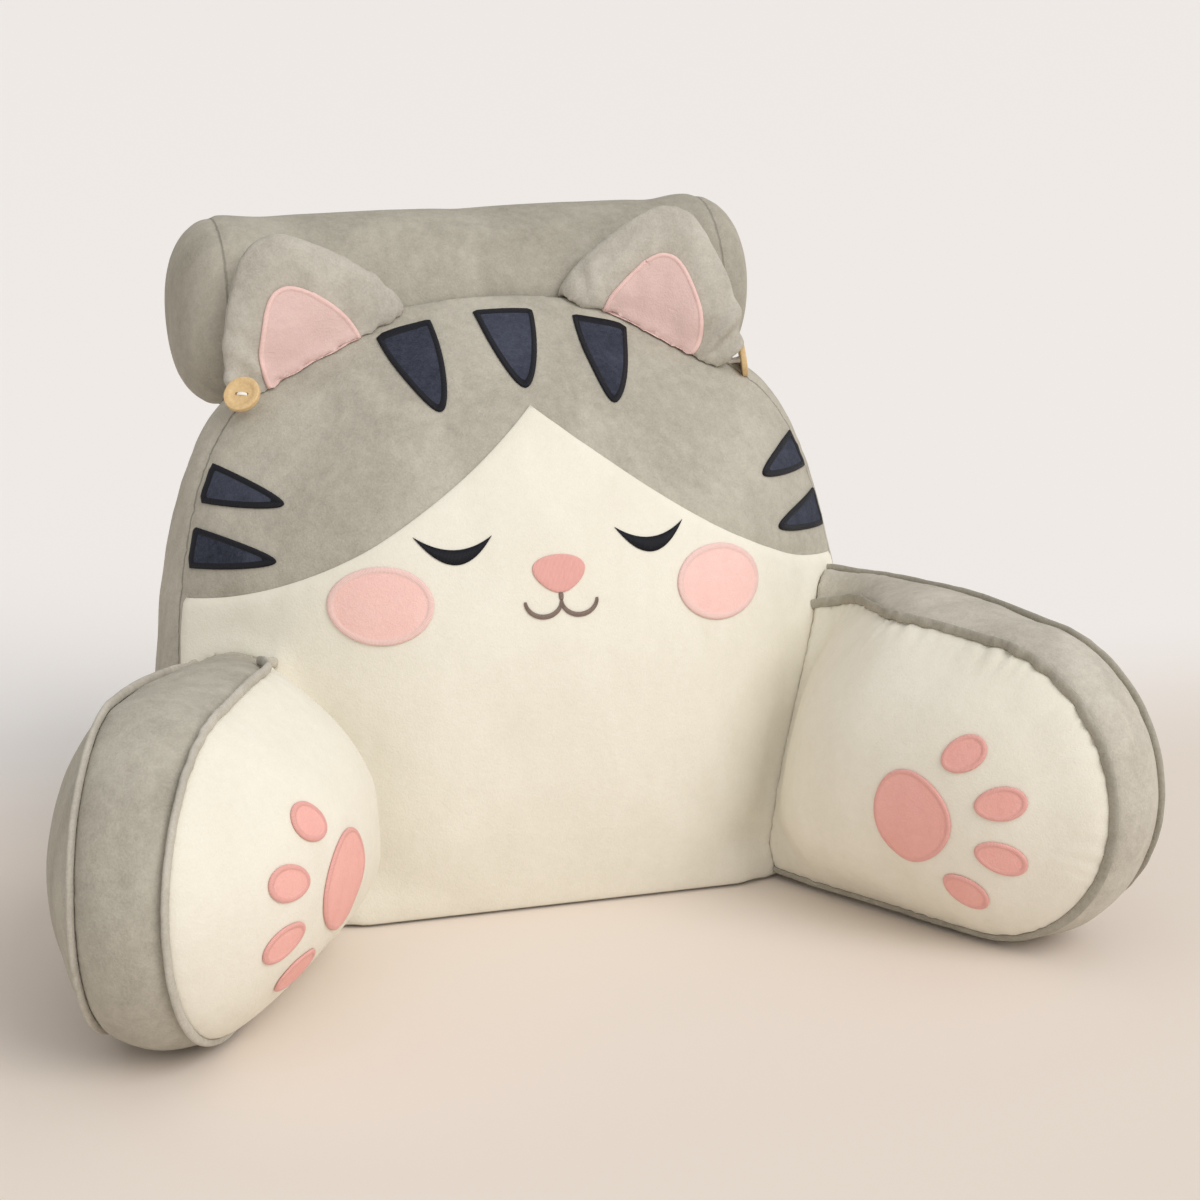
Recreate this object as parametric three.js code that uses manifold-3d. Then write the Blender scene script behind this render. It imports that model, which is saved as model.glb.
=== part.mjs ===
// A cat-shaped reading cushion: a dome-topped back that stands on its base, two splayed arms, a neck roll
// behind the top edge, padded ears, sewn-on patches and two wooden buttons.
// Millimetres, +Z up. The front faces -Y, and the origin is the middle of the flat base.
import * as THREE from 'three';
import { mergeVertices } from 'three/addons/utils/BufferGeometryUtils.js';
import Module from 'manifold-3d';

const wasm = await Module();
wasm.setup();

// Driving dimensions, in millimetres and degrees.
const GAP = 0.5; // free space between two pieces that touch
const CLOTH = 2; // thickness of a sewn panel
const PATCH = 1.6; // thickness of a sewn-on patch

// The back: right half of its sewn outline seen from the front, from the floor to the top of the dome.
const BACK_OUTLINE = [
  { height: 0, half: 246 },
  { height: 14, half: 262 },
  { height: 45, half: 269 },
  { height: 120, half: 270 },
  { height: 205, half: 265 },
  { height: 276, half: 253 },
  { height: 326, half: 237 },
  { height: 360, half: 216 },
  { height: 379, half: 193 },
  { height: 397, half: 160 },
  { height: 415, half: 119 },
  { height: 430, half: 72 },
  { height: 436, half: 0 },
];
const BACK = {
  middle: 140, // height of the fullest point of the front
  front: -113, // Y of that point
  seamFoot: -49, // Y of the front seam's plane at the floor
  seamLean: 0.24, // how far that plane leans back for each millimetre of height
  baseBulge: 47, // how far the bottom seam comes forward between the arms
  bulgeFrom: 150,
  bulgeTo: 268,
  bulgeHeight: 140,
  rearFoot: 97, // Y of the rear seam at the floor
  rearLean: -0.05,
  rearCrown: 25,
  crownPower: 2.6,
  gussetBulge: 8,
};

// An arm: a D-shaped side with a boxing strip round it, in a plane that splays away from the seat.
const ARM = {
  creaseX: 185, // where the inner seam's plane meets the front of the back at the floor
  creaseY: -104,
  splay: 29.5,
  seamLift: 9, // height of the bottom seams above the floor
  height: 224, // height of the upper seams where the nose begins
  rootReach: -95, // the root runs this far back, until the back cuts it
  middle: 115, // place along the arm of the fullest point of its faces
  boxingAtCrease: 98, // width of the boxing strip
  boxingAtNose: 61,
  crownPower: 2.6,
  fadeFrom: -40, // the faces flatten between these two places, towards the root
  fadeTo: 50,
  shiftFrom: -20,
  shiftTo: 110,
  shiftHeight: 204,
  weltRadius: 4.4,
};
// The two arms, stuffed and sewn a little unlike: the nose's distance from the crease, the crowns of the two
// faces, how far the inner side turns outwards at the top of the root, and the heights of the upper seams.
const ARMS = [
  {
    side: -1,
    noseReach: 294,
    innerCrown: 72,
    outerCrown: 50,
    rootShift: 42,
    tops: [
      { along: -95, inner: 184, outer: 184 },
      { along: -30, inner: 196, outer: 192 },
      { along: 20, inner: 211, outer: 200 },
      { along: 70, inner: 223, outer: 209 },
      { along: 120, inner: 228, outer: 217 },
    ],
  },
  {
    side: 1,
    noseReach: 283,
    innerCrown: 63,
    outerCrown: 46,
    rootShift: 72,
    tops: [
      { along: -95, inner: 186, outer: 220 },
      { along: -30, inner: 203, outer: 227 },
      { along: 20, inner: 217, outer: 231 },
      { along: 70, inner: 225, outer: 232 },
      { along: 120, inner: 228, outer: 230 },
    ],
  },
];

const ROLL = { radius: 75, half: 237, endDepth: 50, x: -6, y: 149, z: 431, tilt: 1 };

// An ear, in its own plane: half its width at heights above the seam it is sewn into.
const EAR_OUTLINE = [
  { height: -12, half: 46 },
  { height: -7, half: 64 },
  { height: 9, half: 76 },
  { height: 34, half: 71 },
  { height: 61, half: 55 },
  { height: 88, half: 33 },
  { height: 103, half: 16 },
  { height: 107, half: 0 },
];
const EAR = { y: 50, leanBack: 7, crown: 17, flatness: 3.4, middle: 36 };
const EARS = [
  { side: -1, x: 138, z: 397, roll: 25, yaw: -6, lining: -8 },
  { side: 1, x: 117, z: 406, roll: 16, yaw: -15, lining: 2 },
];

const BUTTON = { radius: 14, thickness: 4.5, rim: 2.2, dish: 1.1, holeRadius: 1.3, holeSpread: 4.2 };
const BUTTON_STEM = { radius: 2.4, depth: 4 };
const BUTTONS = [
  { name: 'button_left', x: -205.5, y: 27, z: 381.5, facing: [-0.45, -0.66, 0.6], stand: 14 },
  { name: 'button_right', x: 190, y: 47, z: 386, facing: [0.95, -0.27, 0.15], stand: 8.5 },
];

// Finishes.
function finish(color, roughness) {
  return new THREE.MeshStandardMaterial({ color, roughness, metalness: 0 });
}
const GREY_PLUSH = finish(0xa7a59a, 0.95);
const CREAM_PLUSH = finish(0xf4eedb, 0.95);
const PINK_PLUSH = finish(0xe8b9b5, 0.9);
const NAVY_PLUSH = finish(0x3c4055, 0.9);
const ROSE_THREAD = finish(0xe59a98, 0.8);
const WOOD = finish(0xdcb884, 0.55);

const smooth = THREE.MathUtils.smoothstep;
const sideName = (side) => (side < 0 ? 'left' : 'right');

// Points along a symmetric outline given by its right half, from its right foot over the top to its left one.
function archPoints(rows, count) {
  const right = rows.map((row) => new THREE.Vector2(row.half, row.height));
  const left = right.slice(0, -1).reverse().map((p) => new THREE.Vector2(-p.x, p.y));
  return new THREE.SplineCurve([...right, ...left]).getSpacedPoints(count);
}

// The same outline closed along its foot by a straight stretch of that many segments.
function closedOutline(rows, archCount, footCount) {
  const arch = archPoints(rows, archCount);
  const foot = [];
  for (let i = 1; i < footCount; i++) foot.push(arch.at(-1).clone().lerp(arch[0], i / footCount));
  return [...arch, ...foot];
}

// How far a point lies from the middle of an outline towards its edge, from 0 to 1, and the edge point there.
function reachIn(outline, middle, x, z) {
  const ray = new THREE.Vector2(x - middle.x, z - middle.y);
  if (ray.length() < 1e-6) return { share: 0, edge: middle };
  for (let i = 0; i < outline.length; i++) {
    const a = outline[i].clone().sub(middle);
    const b = outline[(i + 1) % outline.length].clone().sub(middle);
    const before = ray.cross(a);
    const after = ray.cross(b);
    if (before * after > 0 || before === after) continue;
    const edge = a.lerp(b, before / (before - after));
    if (edge.dot(ray) > 0) return { share: ray.length() / edge.length(), edge: edge.add(middle) };
  }
  return { share: 0, edge: middle };
}

// A closed surface through rings of equal length, with a pole or a flat fan at each end.
function loft(rings, firstPole, lastPole) {
  const count = rings[0].length;
  const points = [...rings.flat(), firstPole, lastPole];
  const first = points.length - 2;
  const last = points.length - 1;
  const faces = [];
  for (let j = 0; j < count; j++) {
    const k = (j + 1) % count;
    faces.push([first, k, j], [last, (rings.length - 1) * count + j, (rings.length - 1) * count + k]);
    for (let i = 0; i + 1 < rings.length; i++) {
      const low = i * count;
      const high = low + count;
      faces.push([low + j, low + k, high + k], [low + j, high + k, high + j]);
    }
  }
  return facingOut(points, faces);
}

// An indexed geometry whose faces point outwards.
function facingOut(points, faces) {
  const volume = faces.reduce((sum, [a, b, c]) => sum + points[a].dot(points[b].clone().cross(points[c])), 0);
  const index = faces.flatMap(([a, b, c]) => (volume < 0 ? [a, c, b] : [a, b, c]));
  return new THREE.BufferGeometry().setFromPoints(points).setIndex(index);
}

// The geometry with its equal points joined and its empty triangles left out.
function welded(geometry) {
  const bare = new THREE.BufferGeometry().setAttribute('position', geometry.getAttribute('position'));
  const merged = mergeVertices(bare.setIndex(geometry.index), 1e-3);
  const corners = merged.index.array;
  const kept = [];
  for (let i = 0; i < corners.length; i += 3) {
    const [a, b, c] = corners.slice(i, i + 3);
    if (a !== b && b !== c && c !== a) kept.push(a, b, c);
  }
  return merged.setIndex(kept);
}

// A closed geometry as a solid that can be joined and cut.
function solidOf(geometry) {
  const closed = welded(geometry);
  return new wasm.Manifold(
    new wasm.Mesh({
      numProp: 3,
      vertProperties: new Float32Array(closed.getAttribute('position').array),
      triVerts: new Uint32Array(closed.index.array),
    }),
  );
}

function geometryOf(solid) {
  const mesh = solid.getMesh();
  return new THREE.BufferGeometry()
    .setAttribute('position', new THREE.BufferAttribute(new Float32Array(mesh.vertProperties), 3))
    .setIndex(new THREE.BufferAttribute(new Uint32Array(mesh.triVerts), 1));
}

// The geometry swollen along its normals, so that what it cuts keeps a gap to it.
function swollen(geometry, amount) {
  const copy = welded(geometry);
  copy.computeVertexNormals();
  const place = copy.getAttribute('position');
  const normal = copy.getAttribute('normal');
  for (let i = 0; i < place.count; i++)
    place.setXYZ(
      i,
      place.getX(i) + normal.getX(i) * amount,
      place.getY(i) + normal.getY(i) * amount,
      place.getZ(i) + normal.getZ(i) * amount,
    );
  return copy;
}

// The geometry with room of that depth cut away for each of the others.
function clearBy(room, geometry, ...others) {
  const cut = (solid, other) => solid.subtract(solidOf(swollen(other, room)));
  return geometryOf(others.reduce(cut, solidOf(geometry)));
}
const clearOf = (geometry, ...others) => clearBy(GAP * 1.3, geometry, ...others);

// The back.
const BACK_MIDDLE = new THREE.Vector2(0, BACK.middle);
const BACK_EDGE = closedOutline(BACK_OUTLINE, 240, 60);

function frontSeam(x, z) {
  const between = 1 - smooth(Math.abs(x), BACK.bulgeFrom, BACK.bulgeTo);
  const forward = BACK.baseBulge * between * (1 - smooth(z, 0, BACK.bulgeHeight));
  return BACK.seamFoot + BACK.seamLean * z - forward;
}

function frontDepth(x, z) {
  const { share, edge } = reachIn(BACK_EDGE, BACK_MIDDLE, x, z);
  return BACK.front + (frontSeam(edge.x, edge.y) - BACK.front) * share ** BACK.crownPower;
}

function rearDepth(x, z) {
  const { share } = reachIn(BACK_EDGE, BACK_MIDDLE, x, z);
  return BACK.rearFoot + BACK.rearLean * z + BACK.rearCrown * (1 - share ** BACK.crownPower);
}

// A point of the front, lifted off it towards the seat.
function onFront(x, z, lift) {
  return new THREE.Vector3(x, frontDepth(x, z) - lift, z);
}

function backGeometry() {
  const outline = closedOutline(BACK_OUTLINE, 46, 11);
  const scaled = (share) => outline.map((p) => BACK_MIDDLE.clone().lerp(p, share));
  const front = [0.3, 0.55, 0.75, 0.9].map((share) => scaled(share).map((p) => onFront(p.x, p.y, 0)));
  const gusset = [0, 1 / 3, 2 / 3, 1].map((share) =>
    outline.map((p) => {
      const outward = BACK.gussetBulge * Math.sin(Math.PI * share) * smooth(p.y, 0, 60);
      const spread = p.clone().sub(BACK_MIDDLE).setLength(outward).add(p);
      const y = THREE.MathUtils.lerp(frontSeam(p.x, p.y), BACK.rearFoot + BACK.rearLean * p.y, share);
      return new THREE.Vector3(spread.x, y, spread.y);
    }),
  );
  const onRear = (x, z) => new THREE.Vector3(x, rearDepth(x, z), z);
  const rear = [0.85, 0.5].map((share) => scaled(share).map((p) => onRear(p.x, p.y)));
  return loft([...front, ...gusset, ...rear], onFront(0, BACK.middle, 0), onRear(0, BACK.middle));
}

// The arms.
const SPLAY = THREE.MathUtils.degToRad(ARM.splay);
const ALONG = new THREE.Vector2(Math.sin(SPLAY), -Math.cos(SPLAY));
const OUTWARD = new THREE.Vector2(-ALONG.y, ALONG.x);
const ARM_RADIUS = (ARM.height - ARM.seamLift) / 2;
const ARM_MIDDLE = new THREE.Vector2(ARM.middle, ARM.seamLift + ARM_RADIUS);

// A point's neighbours in a line, as the direction that points out of the outline there.
function outOf(before, after, length) {
  return new THREE.Vector2(after.y - before.y, before.x - after.x).setLength(length);
}

class Arm {
  constructor(row) {
    Object.assign(this, row);
    this.noseMiddle = row.noseReach - ARM_RADIUS;
    this.edge = this.outline('inner', 40, 60, 20);
  }

  // The inner or outer seam line from the root along the bottom, round the nose and back along the top.
  seamLine(seam, straightCount, noseCount) {
    const points = [];
    for (let i = 0; i < straightCount; i++) {
      const along = THREE.MathUtils.lerp(ARM.rootReach, this.noseMiddle, i / straightCount);
      points.push(new THREE.Vector2(along, ARM.seamLift));
    }
    for (let i = 0; i < noseCount; i++) {
      const turn = -Math.PI / 2 + (Math.PI * i) / noseCount;
      const spoke = new THREE.Vector2(Math.cos(turn), Math.sin(turn)).multiplyScalar(ARM_RADIUS);
      points.push(spoke.add(new THREE.Vector2(this.noseMiddle, ARM_MIDDLE.y)));
    }
    const knots = this.tops.map((row) => new THREE.Vector2(row.along, row[seam]));
    const top = new THREE.SplineCurve([...knots, new THREE.Vector2(this.noseMiddle, ARM.height)]);
    return [...points, ...top.getSpacedPoints(straightCount).reverse()];
  }

  // The same line closed along the root.
  outline(seam, straightCount, noseCount, rootCount) {
    const line = this.seamLine(seam, straightCount, noseCount);
    const root = [];
    for (let i = 1; i < rootCount; i++) root.push(line.at(-1).clone().lerp(line[0], i / rootCount));
    return [...line, ...root];
  }

  // How far the inner side turns outwards near the top of the root.
  turnOut(along, height) {
    const rise = THREE.MathUtils.clamp(height / ARM.shiftHeight, 0, 1);
    return this.rootShift * rise ** 1.6 * (1 - smooth(along, ARM.shiftFrom, ARM.shiftTo));
  }

  // A point at a place along the arm, a height, and a distance outwards from the inner seam's plane.
  at(along, height, outward) {
    const x = ARM.creaseX + along * ALONG.x + outward * OUTWARD.x;
    return new THREE.Vector3(this.side * x, ARM.creaseY + along * ALONG.y + outward * OUTWARD.y, height);
  }

  boxingWidth(along) {
    return THREE.MathUtils.lerp(ARM.boxingAtCrease, ARM.boxingAtNose, along / this.noseReach);
  }

  // Distance outwards of a point of the boxing strip, a share of the way from the inner seam to the outer.
  boxingPlace(along, height, share) {
    return THREE.MathUtils.lerp(this.turnOut(along, height), this.boxingWidth(along), share);
  }

  crown(along, height) {
    const fade = smooth(along, ARM.fadeFrom, ARM.fadeTo);
    return fade * (1 - reachIn(this.edge, ARM_MIDDLE, along, height).share ** ARM.crownPower);
  }

  onInnerFace(along, height) {
    return this.at(along, height, this.turnOut(along, height) - this.innerCrown * this.crown(along, height));
  }

  onOuterFace(along, height) {
    return this.at(along, height, this.boxingWidth(along) + this.outerCrown * this.crown(along, height));
  }

  geometry() {
    const counts = [8, 15, 7];
    const innerLine = this.outline('inner', ...counts);
    const outerLine = this.outline('outer', ...counts);
    const scaled = (line, share) => line.map((p) => ARM_MIDDLE.clone().lerp(p, share));
    const inner = [0.3, 0.55, 0.75, 0.9].map((share) =>
      scaled(innerLine, share).map((p) => this.onInnerFace(p.x, p.y)),
    );
    const bulge = ARM.seamLift / Math.sin(Math.PI / 3);
    const boxing = [0, 1 / 3, 2 / 3, 1].map((share) =>
      innerLine.map((p, i) => {
        const after = innerLine[(i + 1) % innerLine.length];
        const out = outOf(innerLine.at(i - 1), after, bulge * Math.sin(Math.PI * share));
        const q = p.clone().lerp(outerLine[i], share).add(out);
        return this.at(q.x, Math.max(0, q.y), this.boxingPlace(p.x, p.y, share));
      }),
    );
    const outer = [0.88, 0.65, 0.35].map((share) =>
      scaled(outerLine, share).map((p) => this.onOuterFace(p.x, p.y)),
    );
    const poles = [this.onInnerFace(ARM.middle, ARM_MIDDLE.y), this.onOuterFace(ARM.middle, ARM_MIDDLE.y)];
    return loft([...inner, ...boxing, ...outer], ...poles);
  }

  // A welt: a round tube that stands on one seam. It lies outside the seam, leaning towards the side's face.
  weltGeometry(seam) {
    const line = this.seamLine(seam, 8, 17);
    const stand = ARM.weltRadius + GAP;
    const [spread, lean] = [0.8, 0.6];
    const [share, way] = seam === 'inner' ? [0, -1] : [1, 1];
    const path = line.map((p, i) => {
      const after = line[Math.min(line.length - 1, i + 1)];
      const out = outOf(line[Math.max(0, i - 1)], after, stand * spread);
      return this.at(p.x + out.x, p.y + out.y, this.boxingPlace(p.x, p.y, share) + way * stand * lean);
    });
    const sides = 6;
    const acrossArm = new THREE.Vector3(this.side * OUTWARD.x, OUTWARD.y, 0);
    const rings = path.map((p, i) => {
      const ahead = path[Math.min(path.length - 1, i + 1)];
      const heading = ahead.clone().sub(path[Math.max(0, i - 1)]).normalize();
      const up = heading.clone().cross(acrossArm).normalize();
      return Array.from({ length: sides }, (_, k) => {
        const turn = (2 * Math.PI * (k + 0.5)) / sides;
        return p
          .clone()
          .addScaledVector(acrossArm, ARM.weltRadius * Math.cos(turn))
          .addScaledVector(up, ARM.weltRadius * Math.sin(turn));
      });
    });
    return loft(rings, path[0], path.at(-1));
  }

  // A cutter with an outline in the plane of the inner face, which passes through that face only.
  cutter(outline) {
    const seen = outline.map((p) => new THREE.Vector2(this.side * p.x, p.y));
    const across = new THREE.Vector3(ALONG.x, this.side * ALONG.y, 0);
    return cutter(seen, across, Z_AXIS, this.at(0, 0, -40), 87);
  }
}

// The neck roll: a lathed bolster with domed ends, lying along X.
function rollGeometry() {
  const { radius, half, endDepth } = ROLL;
  const steps = 7;
  const end = Array.from({ length: steps }, (_, i) => {
    const turn = ((i / steps) * Math.PI) / 2;
    return new THREE.Vector2(radius * Math.cos(turn) ** 0.55, half - endDepth * (1 - Math.sin(turn) ** 1.1));
  });
  end.push(new THREE.Vector2(0, half));
  const profile = [...end.toReversed().map((p) => new THREE.Vector2(p.x, -p.y)), ...end];
  const lathe = new THREE.LatheGeometry(profile, 30);
  lathe.rotateZ(-Math.PI / 2).rotateY(-THREE.MathUtils.degToRad(ROLL.tilt));
  lathe.translate(ROLL.x, ROLL.y, ROLL.z);
  return lathe;
}

// The ears.
function earMatrix({ side, x, z, roll, yaw }) {
  const turns = [-EAR.leanBack, side * roll, side * yaw].map(THREE.MathUtils.degToRad);
  const turn = new THREE.Euler(...turns, 'YXZ');
  return new THREE.Matrix4().makeRotationFromEuler(turn).setPosition(side * x, EAR.y, z);
}
const EAR_MIDDLE = new THREE.Vector2(0, EAR.middle);
const EAR_EDGE = closedOutline(EAR_OUTLINE, 120, 20);

function earCrown(x, z) {
  return EAR.crown * Math.sqrt(Math.max(0, 1 - reachIn(EAR_EDGE, EAR_MIDDLE, x, z).share ** EAR.flatness));
}

function earGeometry() {
  const outline = closedOutline(EAR_OUTLINE, 24, 5);
  const ring = (share, face) =>
    outline.map((p) => {
      const q = EAR_MIDDLE.clone().lerp(p, share);
      return new THREE.Vector3(q.x, face * earCrown(q.x, q.y), q.y);
    });
  const front = [0.4, 0.72, 0.92].map((share) => ring(share, -1));
  const rear = [0.92, 0.72, 0.4].map((share) => ring(share, 1));
  const pole = (face) => new THREE.Vector3(0, face * earCrown(0, EAR.middle), EAR.middle);
  return loft([...front, ring(1, 0), ...rear], pole(-1), pole(1));
}

// A straight cutter with the given outline, standing on a plane spanned by two axes.
function cutter(outline, across, up, origin, depth) {
  const facing = across.clone().cross(up);
  const shape = new THREE.Shape(outline);
  const prism = new THREE.ExtrudeGeometry(shape, { depth: 2 * depth, bevelEnabled: false });
  const corner = origin.clone().addScaledVector(facing, -depth);
  return solidOf(prism.applyMatrix4(new THREE.Matrix4().makeBasis(across, up, facing).setPosition(corner)));
}

// Outlines in the plane of the front and of an ear, as cutters that pass through that face only.
const X_AXIS = new THREE.Vector3(1, 0, 0);
const Z_AXIS = new THREE.Vector3(0, 0, 1);
const frontCutter = (outline) => cutter(outline, X_AXIS, Z_AXIS, new THREE.Vector3(0, -140, 0), 175);
const earCutter = (outline) => cutter(outline, X_AXIS, Z_AXIS, new THREE.Vector3(0, -50, 0), 50);

// A layer of cloth over a cushion, between two lifts off its surface.
function layer(geometry, low, high) {
  return solidOf(swollen(geometry, high)).subtract(solidOf(swollen(geometry, low)));
}

// An egg-shaped outline: half sizes, a tilt in degrees, and a taper that makes its upper end the wide one.
function eggOutline({ u, v, wide, tall, tilt, taper }) {
  const spokes = 18;
  const middle = new THREE.Vector2(u, v);
  return Array.from({ length: spokes }, (_, k) => {
    const turn = (2 * Math.PI * k) / spokes;
    const p = new THREE.Vector2(wide * Math.cos(turn) * (1 + taper * Math.sin(turn)), tall * Math.sin(turn));
    return p.rotateAround(new THREE.Vector2(), THREE.MathUtils.degToRad(tilt)).add(middle);
  });
}

// A crescent that hangs between two corners, thick in its middle.
function crescentOutline({ u, v, half, drop, thick }) {
  const steps = 10;
  const arc = (depth) => (k) => {
    const share = (2 * k) / steps - 1;
    return new THREE.Vector2(u + half * share, v - depth * (1 - share ** 2));
  };
  const count = Array.from({ length: steps + 1 }, (_, k) => k);
  return [...count.map(arc(drop)), ...count.slice(1, -1).reverse().map(arc(drop - thick))];
}

// The face panel: from the bottom seam up to a pointed blaze in the middle.
const BLAZE = { foot: 6, footHalf: 228, apex: 369, ends: 236, endHalf: 256, power: 1.55, steps: 16 };
function blazeOutline() {
  const top = [];
  for (let i = -BLAZE.steps; i <= BLAZE.steps; i++) {
    const share = i / BLAZE.steps;
    const z = BLAZE.ends + (BLAZE.apex - BLAZE.ends) * (1 - Math.abs(share)) ** BLAZE.power;
    top.push(new THREE.Vector2(-share * BLAZE.endHalf, z));
  }
  const corner = (half, z) => new THREE.Vector2(half, z);
  // Here the arms cover the side edges.
  const hidden = [corner(-BLAZE.endHalf, 205), corner(-BLAZE.footHalf, 165)];
  const foot = [corner(-BLAZE.footHalf, BLAZE.foot), corner(BLAZE.footHalf, BLAZE.foot)];
  return [...top, ...hidden, ...foot, corner(BLAZE.footHalf, 165), corner(BLAZE.endHalf, 205)];
}

const EAR_LINING = [
  { height: -8, half: 35 },
  { height: 7, half: 41 },
  { height: 29, half: 37 },
  { height: 53, half: 22 },
  { height: 65, half: 10 },
  { height: 68, half: 0 },
];

// Patches on the grey cap, on the face panel and on the arms: middle and half sizes, tilt and taper.
const CAP_PATCHES = [
  { name: 'brow_stripe_left', u: -76, v: 412, wide: 21, tall: 46, tilt: 12, taper: 0.35 },
  { name: 'brow_stripe_middle', u: 0, v: 426, wide: 23, tall: 46, tilt: 0, taper: 0.35 },
  { name: 'brow_stripe_right', u: 76, v: 412, wide: 21, tall: 46, tilt: -12, taper: 0.35 },
  { name: 'side_stripe_left_upper', u: -236, v: 318, wide: 15, tall: 52, tilt: 78, taper: 0.4 },
  { name: 'side_stripe_left_lower', u: -250, v: 272, wide: 15, tall: 56, tilt: 86, taper: 0.4 },
  { name: 'side_stripe_right_upper', u: 236, v: 318, wide: 15, tall: 52, tilt: -78, taper: 0.4 },
  { name: 'side_stripe_right_lower', u: 250, v: 272, wide: 15, tall: 56, tilt: -86, taper: 0.4 },
];
const NOSE = { name: 'nose', u: 0, v: 258, wide: 19, tall: 13, tilt: 0, taper: 0.3 };
const CHEEKS = [
  { name: 'cheek_left', u: -128, v: 240, wide: 36, tall: 27, tilt: 6, taper: 0 },
  { name: 'cheek_right', u: 128, v: 240, wide: 36, tall: 27, tilt: -6, taper: 0 },
];
const EYES = [
  { name: 'eye_left', u: -74, v: 286, half: 28, drop: 19, thick: 10 },
  { name: 'eye_right', u: 74, v: 286, half: 28, drop: 19, thick: 10 },
];
const PAW = [
  { name: 'palm', u: 158, v: 106, wide: 34, tall: 30, tilt: 90, taper: 0.16 },
  { name: 'toe_low', u: 192, v: 55, wide: 12, tall: 16, tilt: -124, taper: 0.1 },
  { name: 'toe_lower', u: 220, v: 86, wide: 12, tall: 17, tilt: -106, taper: 0.1 },
  { name: 'toe_upper', u: 220, v: 126, wide: 12, tall: 17, tilt: -74, taper: 0.1 },
  { name: 'toe_high', u: 192, v: 157, wide: 12, tall: 16, tilt: -56, taper: 0.1 },
];

// The buttons: a dished disc with two holes on a short thread stem, seated where its axis meets the back.
function buttonGeometry(row, carrier) {
  const { radius, thickness, rim, dish } = BUTTON;
  const stem = row.stand + BUTTON_STEM.depth;
  const profile = [
    [0, -stem],
    [BUTTON_STEM.radius, -stem],
    [BUTTON_STEM.radius, 0],
    [radius - rim, 0],
    [radius, thickness * 0.5],
    [radius - rim * 0.8, thickness],
    [radius - rim * 1.8, thickness],
    [radius - rim * 2.6, thickness - dish],
    [0, thickness - dish],
  ].map(([r, h]) => new THREE.Vector2(r, h));
  const disc = solidOf(new THREE.LatheGeometry(profile, 24));
  const drilled = [-1, 1].reduce((solid, way) => {
    const drill = new THREE.CylinderGeometry(BUTTON.holeRadius, BUTTON.holeRadius, 2 * thickness, 8);
    return solid.subtract(solidOf(drill.translate(way * BUTTON.holeSpread, thickness / 2, 0)));
  }, disc);
  const facing = new THREE.Vector3(...row.facing).normalize();
  const turn = new THREE.Quaternion().setFromUnitVectors(new THREE.Vector3(0, 1, 0), facing);
  const above = new THREE.Vector3(row.x, row.y, row.z).addScaledVector(facing, 80);
  const [hit] = new THREE.Raycaster(above, facing.clone().negate()).intersectObject(new THREE.Mesh(carrier));
  const seat = hit.point.addScaledVector(facing, row.stand);
  const place = new THREE.Matrix4().makeRotationFromQuaternion(turn).setPosition(seat);
  return geometryOf(drilled).applyMatrix4(place);
}

// The whole cushion.
const cushion = new THREE.Group();
function add(name, geometry, material) {
  const mesh = new THREE.Mesh(geometry, material);
  mesh.name = name;
  cushion.add(mesh);
}

const back = backGeometry();
const roll = rollGeometry();
add('back_cushion', clearOf(back, roll), GREY_PLUSH);
add('neck_roll', roll, GREY_PLUSH);

const arms = ARMS.map((row) => new Arm(row));
const armGeometries = arms.map((arm) => arm.geometry());
const onPanel = 2 * GAP + CLOTH; // lift of a patch that lies on a panel
const overPanel = onPanel + 0.4; // room for a piece that stops against a panel
const panelCloth = layer(back, GAP, GAP + CLOTH).intersect(frontCutter(blazeOutline()));
add('face_panel', clearOf(geometryOf(panelCloth), ...armGeometries), CREAM_PLUSH);

const capOutline = closedOutline(BACK_OUTLINE, 60, 12).map((p) => BACK_MIDDLE.clone().lerp(p, 0.985));
const capCloth = layer(back, GAP, GAP + PATCH).intersect(frontCutter(capOutline));
const faceCloth = layer(back, onPanel, onPanel + PATCH);
const cutPatch = (cloth, outline) => geometryOf(cloth.intersect(frontCutter(outline)));
for (const row of CAP_PATCHES) add(row.name, cutPatch(capCloth, eggOutline(row)), NAVY_PLUSH);
for (const row of EYES) add(row.name, cutPatch(faceCloth, crescentOutline(row)), NAVY_PLUSH);
for (const row of [NOSE, ...CHEEKS]) add(row.name, cutPatch(faceCloth, eggOutline(row)), PINK_PLUSH);

arms.forEach((arm, i) => {
  const name = sideName(arm.side);
  const geometry = armGeometries[i];
  add(`arm_${name}`, clearOf(geometry, back), GREY_PLUSH);
  const panelOutline = arm.outline('inner', 10, 24, 6).map((p) => ARM_MIDDLE.clone().lerp(p, 0.985));
  const cloth = layer(geometry, GAP, GAP + CLOTH).intersect(arm.cutter(panelOutline));
  const welts = ['inner', 'outer'].map((seam) => ({ seam, tube: arm.weltGeometry(seam) }));
  add(`arm_panel_${name}`, clearBy(overPanel, clearOf(geometryOf(cloth), welts[0].tube), back), CREAM_PLUSH);
  for (const { seam, tube } of welts) add(`welt_${seam}_${name}`, clearBy(overPanel, tube, back), GREY_PLUSH);
  const pawCloth = layer(geometry, onPanel, onPanel + PATCH);
  for (const row of PAW) {
    add(`${row.name}_${name}`, geometryOf(pawCloth.intersect(arm.cutter(eggOutline(row)))), ROSE_THREAD);
  }
});

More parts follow.
